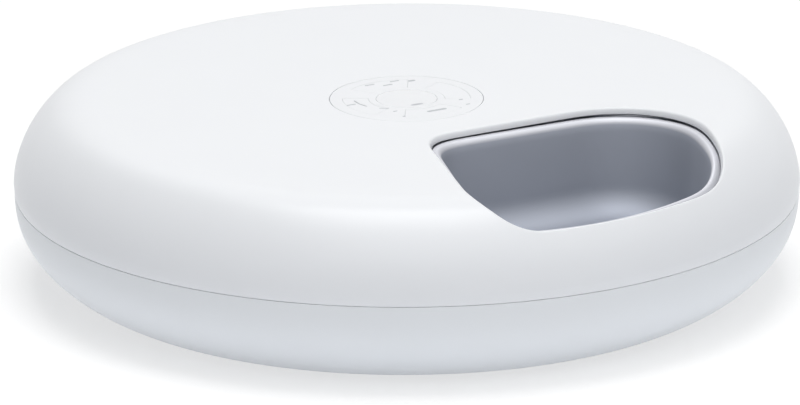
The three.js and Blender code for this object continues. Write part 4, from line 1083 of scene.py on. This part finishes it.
# moulded plastic: a fine grain in the surface, and a slow drift of gloss and tone
def plastic(name, colour, roughness, grain=0.35, depth=0.004, drift=0.05, coat=0.0, specular=0.5):
    f = Finish(name)
    slow = f.grain(surface.plasticDrift, 2)
    fine = f.grain(grain, 2)
    base = f.blended(tone(*colour, share=surface.plasticShade), tone(*colour), slow)
    return f.shaded(Base_Color=base, Roughness=roughness - drift / 2 + slow * drift, Coat_Weight=coat,
                    Specular_IOR_Level=specular, Normal=f.bumped(fine, surface.plasticBump, depth))


# satin metal: long fine scratches one way and a slow drift of gloss; a rim can be painted a paler tone as a
# painted highlight
def metal(name, colour, roughness, stretch=(1, 6, 6), depth=0.003, grain=0.5, rimHighlightColour=None):
    s = surface
    f = Finish(name)
    slow = f.grain(s.metalDrift, 2)
    scratch = f.grain(grain, 3, stretch)
    base = f.blended(tone(*colour, share=s.metalShade), tone(*colour), slow)
    # painted highlight: the rim's points blend to a paler tone that stands in for the light the rolled rim
    # catches
    if rimHighlightColour:
        rim = f.add("Attribute", {"attribute_name": "rim"}, output="Fac")
        base = f.blended(base, tone(*rimHighlightColour), f.ramped(rim, s.rimStart, 1))
    gloss = roughness - s.scratchGloss + slow * s.glossDrift + scratch * s.scratchGloss
    normal = f.bumped(scratch, s.metalBump, depth)
    return f.shaded(Base_Color=base, Metallic=1.0, Roughness=gloss, Normal=normal)


# green laminate with paler copper runs under the varnish
def laminate(name, colour, track):
    s = surface
    f = Finish(name)
    spread = {"Vector": f.place(), "Scale": s.runsPerMetre}
    runs = f.add("TexVoronoi", {"feature": "DISTANCE_TO_EDGE"}, spread)
    base = f.blended(tone(*track), tone(*colour), runs > s.runWidth)
    return f.shaded(Base_Color=base, Roughness=s.boardGloss + f.grain(s.boardGrain) * s.boardDrift)


# a printed wrap between two bare ends of the can, where y is further from the middle than half
def wrapped(name, colour, steel, half):
    s = surface
    f = Finish(name)
    y = f.add("SeparateXYZ", inputs={0: f.place()}, output=1)
    bare = f.add("Math", {"operation": "ABSOLUTE"}, {0: y}) > half * mm
    return f.shaded(Base_Color=f.blended(tone(*colour), tone(*steel), bare), Metallic=bare,
                    Roughness=s.wrapGloss + f.grain(s.wrapGrain) * s.wrapDrift)


# one finish for each slot of the record
panelWhite = (240, 242, 245)
finishes = {
    "cover": plastic("coverWhite", (241, 243, 246), 0.36, depth=0.002),
    "shell": plastic("baseWhite", (238, 241, 244), 0.42, depth=0.003),
    "frame": plastic("frameWhite", (232, 235, 240), 0.46),
    # the pan's rim gets a paler tone as a painted highlight
    "pan": metal("panSteel", (160, 164, 173), 0.68, rimHighlightColour=(190, 191, 196)),
    "panel": plastic("panelWhite", panelWhite, 0.3, depth=0.0015),
    "window": plastic("windowGrey", (239, 241, 244), 0.2, depth=0.0008, drift=0.03, coat=0.3),
    "key": plastic("keyWhite", panelWhite, 0.33, depth=0.0015),
    "inner": plastic("innerGrey", (184, 188, 194), 0.5, grain=0.5, depth=0.008),
    "gear": plastic("gearNatural", (232, 228, 214), 0.42, grain=0.6),
    "pinion": plastic("gearDark", (58, 61, 66), 0.45, grain=0.6),
    "board": laminate("boardGreen", (31, 90, 60), (64, 122, 84)),
    "component": plastic("partBlack", (36, 38, 42), 0.5, grain=0.5, depth=0.01),
    "header": plastic("headerCream", (230, 224, 204), 0.5, grain=0.5),
    "steel": metal("brightSteel", (196, 199, 204), 0.28),
    "cell": wrapped("cellWrap", (47, 74, 99), (190, 192, 196), 22.6),
    "foot": plastic("rubberGrey", (106, 109, 114), 0.85, grain=0.8, depth=0.02, specular=0.25),
    "lead": plastic("leadBlack", (40, 42, 46), 0.6, grain=0.6, depth=0.01),
}
markFinish = plastic("markGrey", (188, 191, 196), 0.4, depth=0.001)

for piece in list(bpy.context.scene.objects):
    if piece.type == "MESH":
        name = piece["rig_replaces"][0] if "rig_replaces" in piece else piece.get("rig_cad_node")
        piece.data.materials.clear()
        piece.data.materials.append(finishes[slotOf[name]] if name else markFinish)
print("finishes made:", len(finishes) + 1)


# the white floor, the light and the camera; lamps by name, turn from the camera's side, rise and power
# floorBounce and bounceTones set the floor's painted bounce glow and its painted shade near the feeder
stage = Values({
    "floorSize": 6000, "floorGlow": 0.545, "floorShare": 0.55, "floorTone": (232, 234, 238),
    "floorBounce": 0.36, "bounceTones": ((200, 200, 200), (255, 255, 255)), "bounceNear": 150,
    "bounceFar": 280, "worldLevel": 0.1, "lampSize": 1600, "lampReach": 2400,
    "lamps": (("overhead", 0, 88, 38.6), ("front", 0, 50, 8.5),
              ("right", 60, 45, 5.8), ("back", 180, 50, 5.4)),
})
lens = Values({
    "focal": 675, "sensor": 36, "near": 0.1, "far": 30, "reach": 6110.3, "aim": (-2.446, 1.384, 32.66),
    "elevation": 17.57, "azimuth": 29.5, "roll": -0.24,
})


# what the camera sees of the floor glows white and keeps the shadow; everything else sees a pale floor that
# glows as painted bounce light, darker near the feeder as painted shade: share = (distance - near) / (far -
# near)
def buildFloor():
    s = stage
    half = s.floorSize / 2
    corners = lifted(blockLine(-half, half, -half, half), 0)
    mesh = bpy.data.meshes.new("floor")
    mesh.from_pydata((corners * mm).tolist(), [], [(0, 1, 2, 3)])
    linked("floor", mesh)
    f = Finish("floorWhite")
    share = s.floorShare
    glowing = f.add("AddShader", inputs={
        0: f.add("BsdfDiffuse", inputs={"Color": (share, share, share, 1)}),
        1: f.add("Emission", inputs={"Color": (1, 1, 1, 1), "Strength": s.floorGlow})})
    away = f.add("VectorMath", {"operation": "LENGTH"}, {0: f.place()}, output="Value")
    clear = f.ramped(away, s.bounceNear * mm, s.bounceFar * mm)
    near, far = (tone(*colour) for colour in s.bounceTones)
    # painted bounce light: a glow that only other surfaces see, its tone darker near the feeder as painted
    # shade
    plain = f.add("AddShader", inputs={
        0: f.add("BsdfDiffuse", inputs={"Color": tone(*s.floorTone)}),
        1: f.add("Emission", inputs={"Color": f.blended(near, far, clear), "Strength": s.floorBounce})})
    f.close(f.add("MixShader", inputs={0: f.shown(), 1: plain, 2: glowing}))
    mesh.materials.append(f.material)


# white where it is seen, and a plain low level as light
def buildWorld():
    world = bpy.data.worlds.new("studio")
    bpy.context.scene.world = world
    world.use_nodes = True
    f = Finish("studio", world.node_tree)
    level = stage.worldLevel + f.shown() * (1 - stage.worldLevel)
    f.close(f.add("Background", inputs={"Color": (1, 1, 1, 1), "Strength": level}), "OutputWorld")


# a lamp that looks at the feeder from a turn to the right of the camera's side and an angle above the floor
def addLamp(name, turn, rise, power):
    light = bpy.data.lights.new(name, "AREA")
    light.size = stage.lampSize * mm
    light.energy = power
    lamp = linked(name, light)
    around, up = math.radians(turn - 90 - lens.azimuth), math.radians(rise)
    ray = Vector((math.cos(up) * math.cos(around), math.cos(up) * math.sin(around), math.sin(up)))
    lamp.location = ray * stage.lampReach * mm
    lamp.rotation_euler = ray.to_track_quat("Z", "Y").to_euler()


# the camera stands at aim + reach (sin(turn) cos(e), -cos(turn) cos(e), sin(e)) and is rolled about its view
def buildCamera():
    e, turn, roll = (math.radians(angle) for angle in (lens.elevation, -lens.azimuth, lens.roll))
    toCamera = Vector((math.sin(turn) * math.cos(e), -math.cos(turn) * math.cos(e), math.sin(e)))
    place = Vector(lens.aim) * mm + toCamera * lens.reach * mm
    ahead = -toCamera
    right = ahead.cross(Vector((0, 0, 1))).normalized()
    up = right.cross(ahead)
    across = right * math.cos(roll) + up * math.sin(roll)
    upward = up * math.cos(roll) - right * math.sin(roll)
    data = bpy.data.cameras.new("camera")
    data.lens = lens.focal
    data.sensor_width = lens.sensor
    data.clip_start, data.clip_end = lens.near, lens.far
    camera = linked("camera", data)
    camera.matrix_world = Matrix.Translation(place) @ Matrix((across, upward, toCamera)).transposed().to_4x4()
    bpy.context.scene.camera = camera


buildFloor()
buildWorld()
for lamp in stage.lamps:
    addLamp(*lamp)
buildCamera()
bpy.context.scene.view_settings.view_transform = "Standard"
print("stage made")
